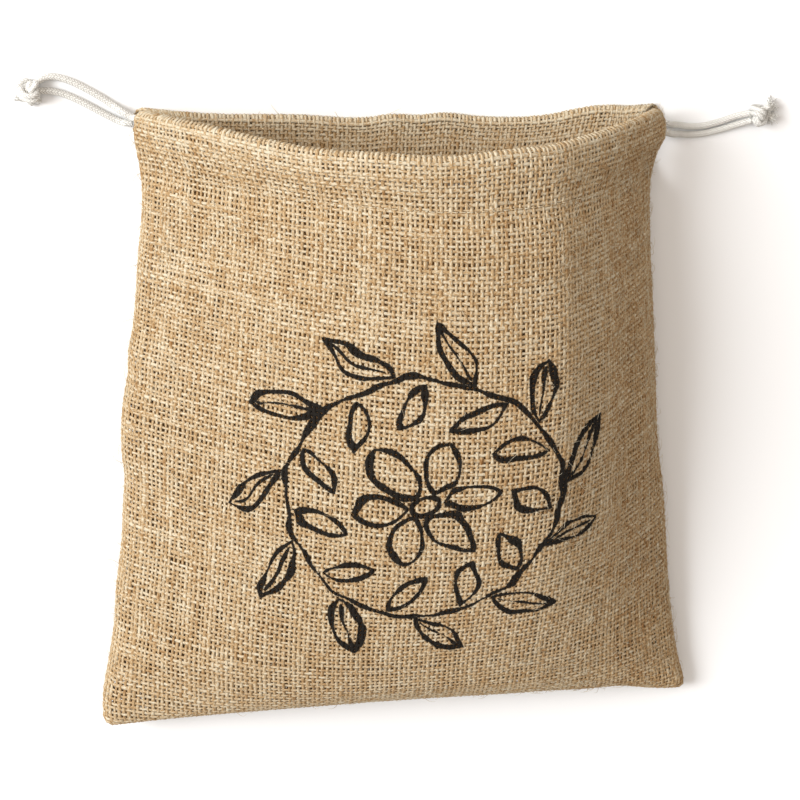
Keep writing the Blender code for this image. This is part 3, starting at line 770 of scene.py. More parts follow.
def smooth_route(points, step):
    """Points at even steps on a smooth curve through the route's own points."""
    points = np.array(points, dtype=float)
    ends = np.concatenate([[2 * points[0] - points[1]], points, [2 * points[-1] - points[-2]]])
    fine = []
    for k in range(len(points) - 1):
        p0, p1, p2, p3 = ends[k:k + 4]
        for t in np.linspace(0, 1, CURVE_STEPS, endpoint=False):
            fine.append(p1 + 0.5 * t * (p2 - p0 + t * (2 * p0 - 5 * p1 + 4 * p2 - p3
                                                      + t * (3 * (p1 - p2) + p3 - p0))))
    fine.append(points[-1])
    fine = np.array(fine)
    length = np.linalg.norm(np.diff(fine, axis=0), axis=1).sum()
    count = max(3, round(length / step) + 1)
    return spread_evenly(fine, np.linspace(0, 1, count))


def casing_run(panel, depths, shares):
    """A cord's middle inside a casing, at depths below the fold."""
    out = panel.normal(shares, depths)
    moved = (out * panel.swell(shares, depths)[:, None]
             + panel.waves(shares, depths, panel.up(shares, depths)))
    inside = smooth_step(np.minimum(shares, 1 - shares) * panel.width, 0, CORD_FREE_REACH)
    return panel.point(shares, depths) - out * CASING_HEIGHT / 2 + moved * inside[:, None]


def casing_route(side):
    """A drawcord's run: in at one side, across the front, round, and home across the back."""
    depths = {place: depth * MM for place, depth in CORD_DEPTHS[side].items()}
    width = PANELS["front"].width
    run = np.linspace(0, 1, round(width / CORD_STEP))
    shares = run * (1 - CORD_TURN_IN / width)
    if side == "right":
        shares = 1 - shares
    front_depths = depths["front_exit"] + (depths["front_turn"] - depths["front_exit"]) * run
    back_depths = depths["back_exit"] + (depths["back_turn"] - depths["back_exit"]) * run
    out = casing_run(PANELS["front"], front_depths, shares)
    home = casing_run(PANELS["back"], back_depths, shares)[::-1]
    leaving = unit(out[-1] - out[-2]) * CORD_TURN_REACH
    returning = unit(home[1] - home[0]) * CORD_TURN_REACH
    turn = [(1 + 2 * t) * (1 - t) ** 2 * out[-1] + t * t * (3 - 2 * t) * home[0]
            + t * (1 - t) ** 2 * leaving + t * t * (t - 1) * returning for t in CORD_TURN_SHARES]
    return np.concatenate([out, turn, home])


def in_frame(route):
    """A route of the CAD, in millimetres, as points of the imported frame."""
    return np.array(route) * MM + CAD_SHIFT


def strand_route(side, place, casing):
    """A free strand: straight on out of the casing, then along its own route."""
    inside, end = (casing[1], casing[0]) if place == "front" else (casing[-2], casing[-1])
    onwards = unit(end - inside)
    start = end + onwards * CORD_GAP
    return np.concatenate([[start, start + onwards * CORD_DIAMETER],
                           in_frame(STRAND_ROUTES[f"{side}_{place}"])])


def route_frames(points):
    """Two ways across a route at each point, carried along it without twisting."""
    along = unit(np.gradient(points, axis=0))
    one = np.zeros_like(points)
    way = np.array((0.0, 0.0, 1.0))
    for k, step in enumerate(along):
        way = way - step * way.dot(step)
        way = way / np.linalg.norm(way)
        one[k] = way
    return one, np.cross(along, one)


def braid_relief(around, along):
    """The braid's surface at turns round the cord and leads along it: its height, 0 to 1, the
    place across and along the end that is on top there, and which way that end winds."""
    u = BRAID_WAYS * (around + along)
    v = BRAID_WAYS * (around - along)
    winds = (np.floor(u) + np.floor(v)) % 4 < 2
    across = np.where(winds, u, v) % 1 - 0.5
    run = np.where(winds, v, u)
    place = np.where(winds, (np.floor(u) + v) % 4, (u + np.floor(v) + 2) % 4)
    from_middle = np.clip(np.abs(place - 1), 0, 1)
    round_top = np.sqrt(np.clip(1 - (2 * across) ** 2, 0, 1))
    return round_top * (1 - END_DIPS * from_middle ** 3), across, run, winds


def cord_mesh(name, routes, material):
    """Cords in one mesh, each given as its points, half its thickness at each of them, the length
    of cord before them and its sides. One with BRAID_SIDES has its braid modelled."""
    relief = bpy.context.scene.sack_cord.relief
    vertices, faces, places, fibres, heights = [], [], [], [], []
    count = 0
    for r, (points, radii, before, sides) in enumerate(routes):
        one, other = route_frames(points)
        steps = np.linalg.norm(np.diff(points, axis=0, prepend=points[:1]), axis=1)
        along = ((before + np.cumsum(steps)) / BRAID_LEAD)[:, None]
        around = np.arange(sides) / sides
        height, across, run, winds = braid_relief(around, along)
        radii = np.broadcast_to(radii, len(points))[:, None]
        if sides == BRAID_SIDES:
            radii = radii + relief * (height - BRAID_LEVEL) * radii / (CORD_DIAMETER / 2)
        else:
            height = np.full_like(height, BRAID_LEVEL)
        turn = 2 * math.pi * around
        rings = points[:, None] + (one[:, None] * np.cos(turn)[:, None]
                                   + other[:, None] * np.sin(turn)[:, None]) * (
                                       radii + 0 * height)[..., None]
        vertices.append(rings.reshape(-1, 3))
        tube, on_map = tube_faces(1, len(points), sides)
        faces += [[corner + count for corner in face] for face in tube]
        on_map[:, 0] = (on_map[:, 0] + r) / len(routes)
        places.append(on_map)
        apart = winds * WAYS_APART + r * YARN_APART
        fibre = np.stack([across * END_WIDTH, run * END_STEP, apart], axis=-1)
        fibres.append(fibre.reshape(-1, 3))
        heights.append(np.broadcast_to(height, rings.shape[:2]).ravel())
        count += len(points) * sides
    piece = new_mesh(name, np.concatenate(vertices), faces, material)
    set_map(piece, np.concatenate(places))
    set_attribute(piece, "fibre", np.concatenate(fibres))
    # the braid's height, which the material turns into painted shade in its dips
    set_attribute(piece, "tone", np.concatenate(heights))
    return piece


def length_of(points):
    """The length of a polyline."""
    return np.linalg.norm(np.diff(points, axis=0), axis=1).sum()


# ---------------------------------------------------------------- knots

KNOT_POINTS = 76
KNOT_LOOSENESS = 1.7           # of the first loops, in diameters
KNOT_FINE = 720                # points of the first loops
KNOT_CUT = 50                  # of them, left out on each side of the cut
KNOT_ENDS = (9, 0.5, 12)       # each straight end: its length, its last step, its points
CORDS_APART = (1.1, 0.1)       # diameters, and how fast they are drawn together beyond that
KNOT_PULLS = 900
KNOT_PULL = 0.08               # diameters a pull, at each end
KNOT_SETTLES = 3               # rounds of bending and touching after each pull
KNOT_KEEPS_GOING = 0.5         # of its last move
KNOT_STIFFNESS = 0.12
KNOT_NEAR = 1.5                # diameters along a cord, within which it can't touch itself
KNOT_LINKS = 6                 # rounds that keep the links' lengths
KNOT_CORD = {"left": 2.4 * MM, "right": 2.2 * MM}       # a cord's thickness, pressed in the knot
KNOT_PRESSED = (3 * MM, 8 * MM)     # from a tail's end, where the knot lets go of it
KNOT_BODY = (26, 51)           # the points that make the knot's body
KNOT_ENTRY = 20                # the point before it that shows how its two cords lie side by side
KNOT_TURNS = {"left": (40, 120), "right": (190, 20)}    # degrees, in plan and about its own line
KNOT_CLEARANCE = 0.1 * MM
KNOT_STEP = 0.4 * MM           # along its cords
KNOT_OVERLAP = 2               # steps that the knot's cords reach back over the free strands


def loose_knot():
    """A trefoil in diameters, cut open in the middle of one lobe, with its ends carried on."""
    t = np.linspace(0, 2 * math.pi, KNOT_FINE, endpoint=False)
    curve = np.stack([np.sin(t) + 2 * np.sin(2 * t), np.cos(t) - 2 * np.cos(2 * t),
                      -np.sin(3 * t)], axis=-1) * KNOT_LOOSENESS
    lobe = int(np.argmax(np.hypot(curve[:, 0], curve[:, 1])))
    curve = np.roll(curve, -lobe, axis=0)[KNOT_CUT:1 - KNOT_CUT]
    reach = np.linspace(*KNOT_ENDS)[:, None]
    return np.concatenate([curve[0] + unit(curve[0] - curve[1]) * reach, curve,
                           curve[-1] + unit(curve[-1] - curve[-2]) * reach[::-1]])


def tie_knot():
    """Two cords side by side in one overhand knot, pulled tight, in diameters of a cord."""
    middle = spread_evenly(loose_knot(), np.linspace(0, 1, KNOT_POINTS))
    one, _ = route_frames(middle)
    wide_apart, drawn = CORDS_APART
    cords = np.stack([middle + one * wide_apart / 2, middle - one * wide_apart / 2])
    steps = np.linalg.norm(np.diff(cords, axis=1), axis=2).mean(axis=1)[:, None, None]
    pull = unit(middle[0] - middle[-1]) * KNOT_PULL
    cord = np.repeat([0, 1], KNOT_POINTS)
    place = np.tile(np.arange(KNOT_POINTS), 2)
    near = math.ceil(KNOT_NEAR / steps.mean())
    beside = (cord[:, None] == cord) & (np.abs(place[:, None] - place) <= near)
    before = cords.copy()
    for _ in range(KNOT_PULLS):
        cords, before = cords + (cords - before) * KNOT_KEEPS_GOING, cords
        cords[:, 0] += pull
        cords[:, -1] -= pull
        for _ in range(KNOT_SETTLES):
            straight = (cords[:, :-2] + cords[:, 2:]) / 2
            cords[:, 1:-1] += (straight - cords[:, 1:-1]) * KNOT_STIFFNESS
            gap = cords[1] - cords[0]
            wide = np.linalg.norm(gap, axis=1, keepdims=True)
            together = gap / wide * np.maximum(wide - wide_apart, 0) * drawn
            cords[0] += together
            cords[1] -= together
            flat = cords.reshape(-1, 3)
            away = flat[:, None] - flat
            distance = np.sqrt((away ** 2).sum(axis=-1)) + 1e-9
            touching = (distance < 1) & ~beside
            push = np.where(touching, (1 - distance) / distance * 0.5, 0)
            spread = np.sqrt(np.maximum(touching.sum(axis=1), 1))[:, None]
            cords = (flat + (away * push[..., None]).sum(axis=1) / spread).reshape(cords.shape)
            for _ in range(KNOT_LINKS):
                for first in (0, 1):
                    a = np.arange(first, KNOT_POINTS - 1, 2)
                    link = cords[:, a + 1] - cords[:, a]
                    length = np.linalg.norm(link, axis=2, keepdims=True)
                    fix = link * (length - steps) / length * 0.5
                    cords[:, a] += fix
                    cords[:, a + 1] -= fix
    return cords


def turned_knot(side, tied):
    """The tied cords of one knot's body, placed at the knot."""
    heading, roll = (math.radians(angle) for angle in KNOT_TURNS[side])
    thick = KNOT_CORD[side]
    axis = unit(tied[:, 0].mean(axis=0) - tied[:, -1].mean(axis=0))
    apart = tied[0, KNOT_ENTRY] - tied[1, KNOT_ENTRY]
    apart = unit(apart - axis * apart.dot(axis))
    entry = np.array((math.cos(heading), math.sin(heading), 0.0))
    level = np.array((-math.sin(heading), math.cos(heading), 0.0))
    beside = level * math.cos(roll) + np.array((0.0, 0.0, math.sin(roll)))
    old = np.stack([axis, apart, np.cross(axis, apart)])
    new = np.stack([entry, beside, np.cross(entry, beside)])
    body = tied[:, KNOT_BODY[0]:KNOT_BODY[1]] @ old.T @ new * thick
    low, high = body.min(axis=(0, 1)), body.max(axis=(0, 1))
    centre = in_frame(KNOT_CENTRE[side])
    centre[2] = (high[2] - low[2] + thick) / 2 + KNOT_CLEARANCE
    return body - (low + high) / 2 + centre


FRAYED_TAILS = ("right_upper", "right_lower")
FRAYED_ENDS = 84
FRAYED_FROM = (2, 7)           # points back from the tail's end, where they begin
FRAYED_ASIDE = 0.6             # of the cord's thickness, how far from its middle
FRAYED_SPREAD = (0.3, 1.4)     # how far aside they lean
FRAYED_CURL = 0.7
FRAYED_JOINTS = 5
FRAYED_SIDES = 5
FRAYED_TIP = 0.5               # of the thickness at the root
FRAYED_LENGTHS = (0.9 * MM, 1.9 * MM)
FRAYED_THICK = 0.60 * MM
FRAYED_FLARE = 0.45            # of the cord's thickness, where its braid opens
FLARE_REACH = 3 * MM


def frayed_ends(points, rng):
    """The ends of the braid, come loose and spread beyond a cut tail."""
    one, other = route_frames(points)
    ahead = unit(points[-1] - points[-3])
    routes = []
    for _ in range(FRAYED_ENDS):
        angle, reach = rng.uniform(0, 2 * math.pi), math.sqrt(rng.uniform(0, 1))
        aside = one[-1] * math.cos(angle) + other[-1] * math.sin(angle)
        back = rng.integers(*FRAYED_FROM)
        start = points[-back] + aside * reach * CORD_DIAMETER * FRAYED_ASIDE
        away = unit(ahead + aside * rng.uniform(*FRAYED_SPREAD) * reach)
        length = rng.uniform(*FRAYED_LENGTHS)
        curl = rng.normal(0, FRAYED_CURL, 3)
        strand = np.array([start + (away * t + curl * t * t) * length
                           for t in np.linspace(0, 1, FRAYED_JOINTS)])
        strand[:, 2] = np.maximum(strand[:, 2], FRAYED_THICK / 2)
        radii = FRAYED_THICK / 2 * np.linspace(1, FRAYED_TIP, FRAYED_JOINTS)
        routes.append((strand, radii, 0.0, FRAYED_SIDES))
    return routes


def knot_routes(side, tied, strands):
    """Both cords from the ends of the free strands, through the knot and along their tails."""
    rng = np.random.default_rng(SEED)
    routes = []
    body = turned_knot(side, tied)
    for cord, (place, tail) in enumerate((("front", "upper"), ("back", "lower"))):
        strand = strands[place]
        ends = in_frame(TAIL_ROUTES[f"{side}_{tail}"])
        inside = smooth_route(np.concatenate([strand[-4:-1:2], strand[-1:], body[cord], ends]),
                              KNOT_STEP)
        first = np.linalg.norm(inside - strand[-1], axis=1).argmin() - KNOT_OVERLAP
        inside = inside[first:]
        run = np.linspace(0, length_of(inside), len(inside))
        left = run[-1] - run
        frayed = f"{side}_{tail}" in FRAYED_TAILS
        pressed = smooth_step(run, 0, KNOT_PRESSED[0]) * smooth_step(left, *KNOT_PRESSED)
        radii = CORD_DIAMETER / 2 + (KNOT_CORD[side] - CORD_DIAMETER) / 2 * pressed
        radii = radii * (1 + frayed * FRAYED_FLARE * (1 - smooth_step(left, 0, FLARE_REACH)))
        begins = length_of(strand) - KNOT_OVERLAP * KNOT_STEP
        routes.append((inside, radii, begins, BRAID_SIDES))
        if frayed:
            routes += frayed_ends(inside, rng)
    return routes


# ---------------------------------------------------------------- materials

def linear(hex_colour):
    """An sRGB hex colour as linear RGBA."""
    values = [int(hex_colour[k:k + 2], 16) / 255 for k in (1, 3, 5)]
    return (*((v / 12.92 if v <= 0.04045 else ((v + 0.055) / 1.055) ** 2.4) for v in values), 1.0)


def add(tree, kind, *inputs, out=0, named=None, stops=(), **settings):
    """Adds a node with its settings and, on a ramp, its (place, colour) stops, links or sets its
    inputs, and gives the output asked for."""
    made = tree.nodes.new("ShaderNode" + kind)
    for name, value in settings.items():
        setattr(made, name, value)
    for k, (place, colour) in enumerate(stops):
        elements = made.color_ramp.elements
        element = elements[k] if k < len(elements) else elements.new(1.0)
        element.position = place
        element.color = colour
    for key, value in [*enumerate(inputs), *(named or {}).items()]:
        if isinstance(value, bpy.types.NodeSocket):
            tree.links.new(value, made.inputs[key])
        elif value is not None:
            made.inputs[key].default_value = value
    return made.outputs[out]


def new_material(name):
    made = bpy.data.materials.new(name)
    made.use_nodes = True
    return made, made.node_tree, made.node_tree.nodes["Principled BSDF"]


JUTE_STREAKS = (0.48 * MM, 0.48 * MM, 1.3 * MM)    # of fibre: across, up and along a yarn
JUTE_STREAK_SHADE = 1.5        # how much they lighten and darken it
JUTE_SHADE_SPAN = (-0.6, 0.7)        # painted shade: of a yarn's height, from its inner side, painted darker, to its outer side, painted lighter
JUTE_PAINTED_DEPTH_SHADE = 0.04
JUTE_BUMP = 0.14 * MM
# Painted warm shade on the yarns' inner side, standing in for light bounced between the yarns
# inside the sack
INNER_SHADE_SIDE = (-0.6, 0.1)       # of a yarn's height: where the painted warm shade is whole and where it ends
OUTER_PAINTED_SHADE = {"front": 0.0, "back": 0.15}        # share of the painted warm shade on the outer side
INNER_SHADE_FROM_FOLD = (3 * MM, 10 * MM)                # where it begins and is whole, below the fold
INNER_SHADE_SHARE = 0.6


def jute_hessian(side):
    """Jute hessian, a dry bast fibre spun into hairy uneven singles: matt tan, finely streaked
    lengthwise, each yarn a little lighter or browner than the next. Painted light on top: painted
    shade deep in the weave and on the flank, painted highlights where yarns lie on top, and a
    painted warm brown shade on the side that is turned inside the sack. The front is screen
    printed."""
    cloth = bpy.context.scene.sack_cloth
    name = "jute hessian, screen printed" if side == "front" else "jute hessian, plain"
    if name in bpy.data.materials:
        return bpy.data.materials[name]
    made, tree, shader = new_material(name)
    fibre = add(tree, "Attribute", attribute_name="fibre", out="Vector")
    tone = add(tree, "Attribute", attribute_name="tone", out="Fac")
    stretched = add(tree, "VectorMath", fibre, tuple(1 / size for size in JUTE_STREAKS),
                    operation="MULTIPLY")
    streaks = add(tree, "TexNoise", named={"Vector": stretched, "Scale": 1.0, "Detail": 3.0})
    centred = add(tree, "Math", streaks, 0.5, operation="SUBTRACT")
    level = add(tree, "Math", centred, JUTE_STREAK_SHADE, tone, operation="MULTIPLY_ADD")
    outside = add(tree, "SeparateXYZ", fibre, out=1)
    # painted shade: darker towards a yarn's inner side, lighter towards its outer side
    inner, outer = (share * YARN_HEIGHT for share in JUTE_SHADE_SPAN)
    painted_depth_shade = add(tree, "MapRange", outside, inner, outer, -JUTE_PAINTED_DEPTH_SHADE, JUTE_PAINTED_DEPTH_SHADE)
    level = add(tree, "Math", level, painted_depth_shade, operation="ADD")
    colour = add(tree, "ValToRGB", level,
                 stops=((0.10, cloth.dark), (0.48, cloth.middle), (0.84, cloth.light)))
    place = add(tree, "Attribute", attribute_name="cloth", out="Vector")
    from_fold = add(tree, "SeparateXYZ", place, out=1)
    from_fold = add(tree, "Math", from_fold, operation="ABSOLUTE")
    # painted warm shade on the yarns' inner side, mixed in below the fold
    most = add(tree, "MapRange", from_fold, *INNER_SHADE_FROM_FOLD, 0.0, INNER_SHADE_SHARE)
    whole, none = (share * YARN_HEIGHT for share in INNER_SHADE_SIDE)
    inward = add(tree, "MapRange", outside, whole, none, 1.0, OUTER_PAINTED_SHADE[side])
    inward = add(tree, "Math", inward, most, operation="MULTIPLY")
    colour = add(tree, "Mix", data_type="RGBA", out="Result",
                 named={0: inward, 6: colour, 7: cloth.inward})
    if side == "front":
        ink = bpy.context.scene.sack_print
        colour = add(tree, "Mix", data_type="RGBA", out="Result",
                     named={0: ink_cover(tree, ink, fibre), 6: colour, 7: ink.colour})
    shader.inputs["Roughness"].default_value = 0.92
    shader.inputs["Specular IOR Level"].default_value = 0.25
    bump = add(tree, "Bump", named={"Height": streaks, "Strength": 0.7, "Distance": JUTE_BUMP})
    tree.links.new(colour, shader.inputs["Base Color"])
    tree.links.new(bump, shader.inputs["Normal"])
    return made


# The print's own lengths are in millimetres. A ring of leaves or petals has their count, how far
# the ring is turned, of one of its steps, how far out they lie, how far each one is tilted, in
# degrees, its half length and half width, and whether it has a vein.
PRINT_CIRCLES = (59.0, 5.0)
PRINT_RINGS = (
    (11, 0.0, 72.5, 36.0, 15.0, 5.6, True),
    (11, 0.5, 46.5, -34.0, 11.0, 4.6, False),
    (6, 0.3, 19.0, 0.0, 12.0, 7.0, False),
)
PRINT_UNSTEADY = 14.0          # how far the hand wanders, at most about half of this
PRINT_WAVE = 28.57             # over which it wanders
PRINT_VEIN_THINNER = 0.5
PRINT_VEIN_END = 0.45          # of a leaf's half width, how far a vein stays off its outline
PRINT_STROKE = 11.11           # over which a line grows thick and thin
PRINT_BRUSH = (0.34, 0.66)     # of the noise, where it is thinnest and thickest
PRINT_GRAIN = 0.7143           # of a line's rough edge
PRINT_EDGE = 0.9               # how deep that is
PRINT_FADE = (-0.1, 0.25)      # off a line's edge, from bare yarn to full ink
PRINT_COVER = 0.985
PRINT_SOAK = (-1.2, -0.8)      # of a yarn's height: how deep the ink goes


def ink_cover(tree, settings, fibre):
    """Where the print lies on the yarns, 0 to 1: a wreath of leaves round a flower, brushed by
    hand in uneven lines."""
    place = add(tree, "Attribute", attribute_name="cloth", out="Vector")
    place = add(tree, "VectorMath", place, (1 / MM, 1 / MM, 0.0), (0.0, settings.depth / MM, 0.0),
                operation="MULTIPLY_ADD")
    waves = add(tree, "TexNoise", out="Color",
                named={"Vector": place, "Scale": 1 / PRINT_WAVE, "Detail": 1.0})
    waves = add(tree, "VectorMath", waves, (-0.5, -0.5, -0.5), operation="ADD")
    place = add(tree, "VectorMath", waves, (PRINT_UNSTEADY, PRINT_UNSTEADY, 0.0), place,
                operation="MULTIPLY_ADD")
    apart = add(tree, "SeparateXYZ", place)
    x, y = apart, apart.node.outputs[1]
    radius = add(tree, "VectorMath", place, operation="LENGTH", out="Value")
    angle = add(tree, "Math", y, x, operation="ARCTAN2")

    def circle(size):
        """Distance from a circle round the middle."""
        off = add(tree, "Math", radius, -size, operation="ADD")
        return add(tree, "Math", off, operation="ABSOLUTE")

    def sector(count, turned):
        """Place along and beside the middle line of the sector it lies in."""
        turns = add(tree, "Math", angle, count / (2 * math.pi), turned, operation="MULTIPLY_ADD")
        part = add(tree, "Math", turns, operation="FRACT")
        part = add(tree, "Math", part, -0.5, operation="ADD")
        part = add(tree, "Math", part, 2 * math.pi / count, operation="MULTIPLY")
        ways = [add(tree, "Math", part, operation=way) for way in ("COSINE", "SINE")]
        return add(tree, "CombineXYZ",
                   *(add(tree, "Math", way, radius, operation="MULTIPLY") for way in ways))

    def leaf(local, distance_out, tilt, half_length, half_width, vein):
        """Distance from a leaf's outline and, where it has one, its vein."""
        reach = (half_length ** 2 + half_width ** 2) / (2 * half_width)
        off = reach - half_width
        moved = add(tree, "VectorMath", local, (-distance_out, 0.0, 0.0), operation="ADD")
        moved = add(tree, "VectorRotate", moved, rotation_type="Z_AXIS",
                    named={"Angle": -math.radians(tilt)})
        sides = [add(tree, "VectorMath", moved, (0.0, way * off, 0.0), operation="DISTANCE",
                     out="Value") for way in (-1, 1)]
        far = add(tree, "Math", *sides, operation="MAXIMUM")
        inside = add(tree, "Math", far, -reach, operation="ADD")
        distance = add(tree, "Math", inside, operation="ABSOLUTE")
        if not vein:
            return distance
        beside = add(tree, "SeparateXYZ", moved, out=1)
        beside = add(tree, "Math", beside, operation="ABSOLUTE")
        beside = add(tree, "Math", beside, PRINT_VEIN_THINNER, operation="ADD")
        near = add(tree, "Math", inside, half_width * PRINT_VEIN_END, operation="ADD")
        line = add(tree, "Math", beside, near, operation="MAXIMUM")
        return add(tree, "Math", distance, line, operation="MINIMUM")

    distance, *others = [circle(size) for size in PRINT_CIRCLES] + [
        leaf(sector(count, turned), *shape) for count, turned, *shape in PRINT_RINGS]
    for shape in others:
        distance = add(tree, "Math", distance, shape, operation="MINIMUM")
    brush = add(tree, "TexNoise",
                named={"Vector": place, "Scale": 1 / PRINT_STROKE, "Detail": 1.0})
    half_line = add(tree, "MapRange", brush, *PRINT_BRUSH, settings.thin / MM / 2,
                    settings.thick / MM / 2)
    rough = add(tree, "TexNoise",
                named={"Vector": place, "Scale": 1 / PRINT_GRAIN, "Detail": 2.0})
    rough = add(tree, "Math", rough, PRINT_EDGE, -PRINT_EDGE / 2, operation="MULTIPLY_ADD")
    cover = add(tree, "Math", half_line, distance, operation="SUBTRACT")
    cover = add(tree, "Math", cover, rough, operation="ADD")
    cover = add(tree, "MapRange", cover, *PRINT_FADE, 0.0, PRINT_COVER)
    outside = add(tree, "SeparateXYZ", fibre, out=1)
    deepest, full = (share * YARN_HEIGHT for share in PRINT_SOAK)
    soaked = add(tree, "MapRange", outside, deepest, full, 0.0, 1.0)
    return add(tree, "Math", cover, soaked, operation="MULTIPLY")


COTTON_STREAKS = (0.16 * MM, 1.6 * MM, 1 * MM)     # of yarn: across, along and between its ends
COTTON_PAINTED_SHADE = (0.75, -0.4)    # painted shade: of the braid's height, and added to it, so that the dips are darker
COTTON_BUMP = 0.1 * MM


def cotton_cord():
    """Braided cotton cord, unbleached off-white: matt, each end of the braid finely streaked along
    its own way by the yarns in it, with painted shade that makes it greyer where it dips."""
    cord = bpy.context.scene.sack_cord
    made, tree, shader = new_material("braided cotton cord")
    fibre = add(tree, "Attribute", attribute_name="fibre", out="Vector")
    height = add(tree, "Attribute", attribute_name="tone", out="Fac")
    stretched = add(tree, "VectorMath", fibre, tuple(1 / size for size in COTTON_STREAKS),
                    operation="MULTIPLY")
    yarns = add(tree, "TexNoise", named={"Vector": stretched, "Scale": 1.0, "Detail": 2.0})
    # painted shade: darker where the braid dips, from its height
    level = add(tree, "Math", height, *COTTON_PAINTED_SHADE, operation="MULTIPLY_ADD")
    level = add(tree, "Math", level, yarns, operation="ADD")
    colour = add(tree, "ValToRGB", level, stops=((0.30, cord.dark), (0.80, cord.light)))
    shader.inputs["Roughness"].default_value = 0.85
    shader.inputs["Specular IOR Level"].default_value = 0.3
    bump = add(tree, "Bump", named={"Height": yarns, "Strength": 0.5, "Distance": COTTON_BUMP})
    tree.links.new(colour, shader.inputs["Base Color"])
    tree.links.new(bump, shader.inputs["Normal"])
    return made


# ---------------------------------------------------------------- camera and stage

FOCAL_LENGTH = 122.4           # mm on a 36 mm sensor
CAMERA_DISTANCE = 1232.6 * MM
CAMERA_TILT = math.radians(21.41)     # from straight above towards the mouth
CAMERA_SIDE = math.radians(7.4)       # towards the left
CAMERA_ROLL = math.radians(-0.13)
CAMERA_TARGET = Vector((0.68, 3.9, 0.0)) * MM
FLOOR_SIZE = 6.0
KEY_PLACE = (-2.60, 1.00, 2.15)       # at the upper left
KEY_SIZE = 1.7
KEY_COLOUR = "#FFFFFF"
FILL_PLACE = (-0.10, 0.95, 1.3)       # beyond the mouth
FILL_SIZE = 1.2
FILL_COLOUR = "#FFEEDD"


def camera_axes():
    """The camera's right, up and back."""
    back = Vector((-math.sin(CAMERA_SIDE) * math.cos(CAMERA_TILT), math.sin(CAMERA_TILT),
                   math.cos(CAMERA_SIDE) * math.cos(CAMERA_TILT)))
    right = Vector((0, 1, 0)).cross(back).normalized()
    up = back.cross(right)
    turn = Matrix.Rotation(CAMERA_ROLL, 3, back)
    return turn @ right, turn @ up, back


def add_camera():
    right, up, back = camera_axes()
    camera = bpy.data.objects.new("camera", bpy.data.cameras.new("camera"))
    camera.data.lens = FOCAL_LENGTH
    camera.data.clip_start = 0.05
    axes = Matrix((right, up, back)).transposed().to_4x4()
    camera.matrix_world = Matrix.Translation(CAMERA_TARGET + back * CAMERA_DISTANCE) @ axes
    bpy.context.collection.objects.link(camera)
    bpy.context.scene.camera = camera


def add_light(name, place, size, power, colour):
    """A square soft light that looks at the sack."""
    data = bpy.data.lights.new(name, "AREA")
    data.size = size
    data.energy = power
    data.color = linear(colour)[:3]
    light = bpy.data.objects.new(name, data)
    light.location = place
    light.rotation_euler = (-Vector(place)).to_track_quat("-Z", "Y").to_euler()
    bpy.context.collection.objects.link(light)


def add_floor(colour):
    """Matt white paper: bright, with soft shadows and no shine."""
    bpy.ops.mesh.primitive_plane_add(size=FLOOR_SIZE, location=(0, 0, 0))
    floor = bpy.context.object
    floor.name = "floor"
    material, _, shader = new_material("matt white paper")
    shader.inputs["Base Color"].default_value = colour
    shader.inputs["Roughness"].default_value = 0.9
    floor.data.materials.append(material)


# ---------------------------------------------------------------- what a user may change

def colour_setting(name, description, hex_colour):
    return bpy.props.FloatVectorProperty(name=name, description=description, size=4, min=0, max=1,
                                         subtype="COLOR", default=linear(hex_colour))


def length_setting(name, description, default):
    return bpy.props.FloatProperty(name=name, description=description, default=default, min=0,
                                   precision=5, unit="LENGTH")


class SackClothSettings(bpy.types.PropertyGroup):
    light: colour_setting("Light fibres", "Colour of the palest jute fibres", "#C8BFA9")
    middle: colour_setting("Fibres", "Colour of most of the jute fibres", "#AC916A")
    dark: colour_setting("Dark fibres", "Colour of the brownest jute fibres", "#7A5228")
    # painted warm shade: the colour that the yarns' inner side is mixed towards
    inward: colour_setting("Turned inwards", "Colour of the yarns' side inside the sack", "#A27A45")
    hairs: bpy.props.IntProperty(name="Loose fibres", default=2600, min=0, max=3000,
                                 description="How many loose fibres stand out of the front")
    hair_thickness: length_setting("Loose fibre thickness",
                                   "Thickness of a loose fibre at its root", 0.17 * MM)


class SackPrintSettings(bpy.types.PropertyGroup):
    colour: colour_setting("Ink", "Colour of the printed lines", "#070606")
    depth: length_setting("Depth", "Distance of the print's middle below the fold", 160 * MM)
    thin: length_setting("Thinnest line", "Width of the print's thinnest lines", 1.4 * MM)
    thick: length_setting("Thickest line", "Width of the print's thickest lines", 3.8 * MM)


class SackCordSettings(bpy.types.PropertyGroup):
    light: colour_setting("Cotton", "Colour of the cotton on top of the braid", "#ECEDEA")
    # painted shade: the cotton's colour in the dips of the braid
    dark: colour_setting("Cotton in the dips", "Colour of the cotton between its ends", "#8E8C87")
    relief: length_setting("Braid relief", "How far the braid's ends stand out", 0.26 * MM)


class SackStageSettings(bpy.types.PropertyGroup):
    floor: colour_setting("Floor", "Colour of the paper floor", "#F4F7FA")
    around: colour_setting("Light all round", "Colour of the studio's even light", "#FFF3E8")
    strength: bpy.props.FloatProperty(name="Strength all round", default=0.52, min=0,
                                      description="Strength of the studio's even light")
    key: bpy.props.FloatProperty(name="Key light", default=153, min=0, unit="POWER",
                                 description="Power of the light at the upper left")
    fill: bpy.props.FloatProperty(name="Fill light", default=6, min=0, unit="POWER",
                                  description="Power of the light beyond the mouth")


# ---------------------------------------------------------------- what the add-on builds

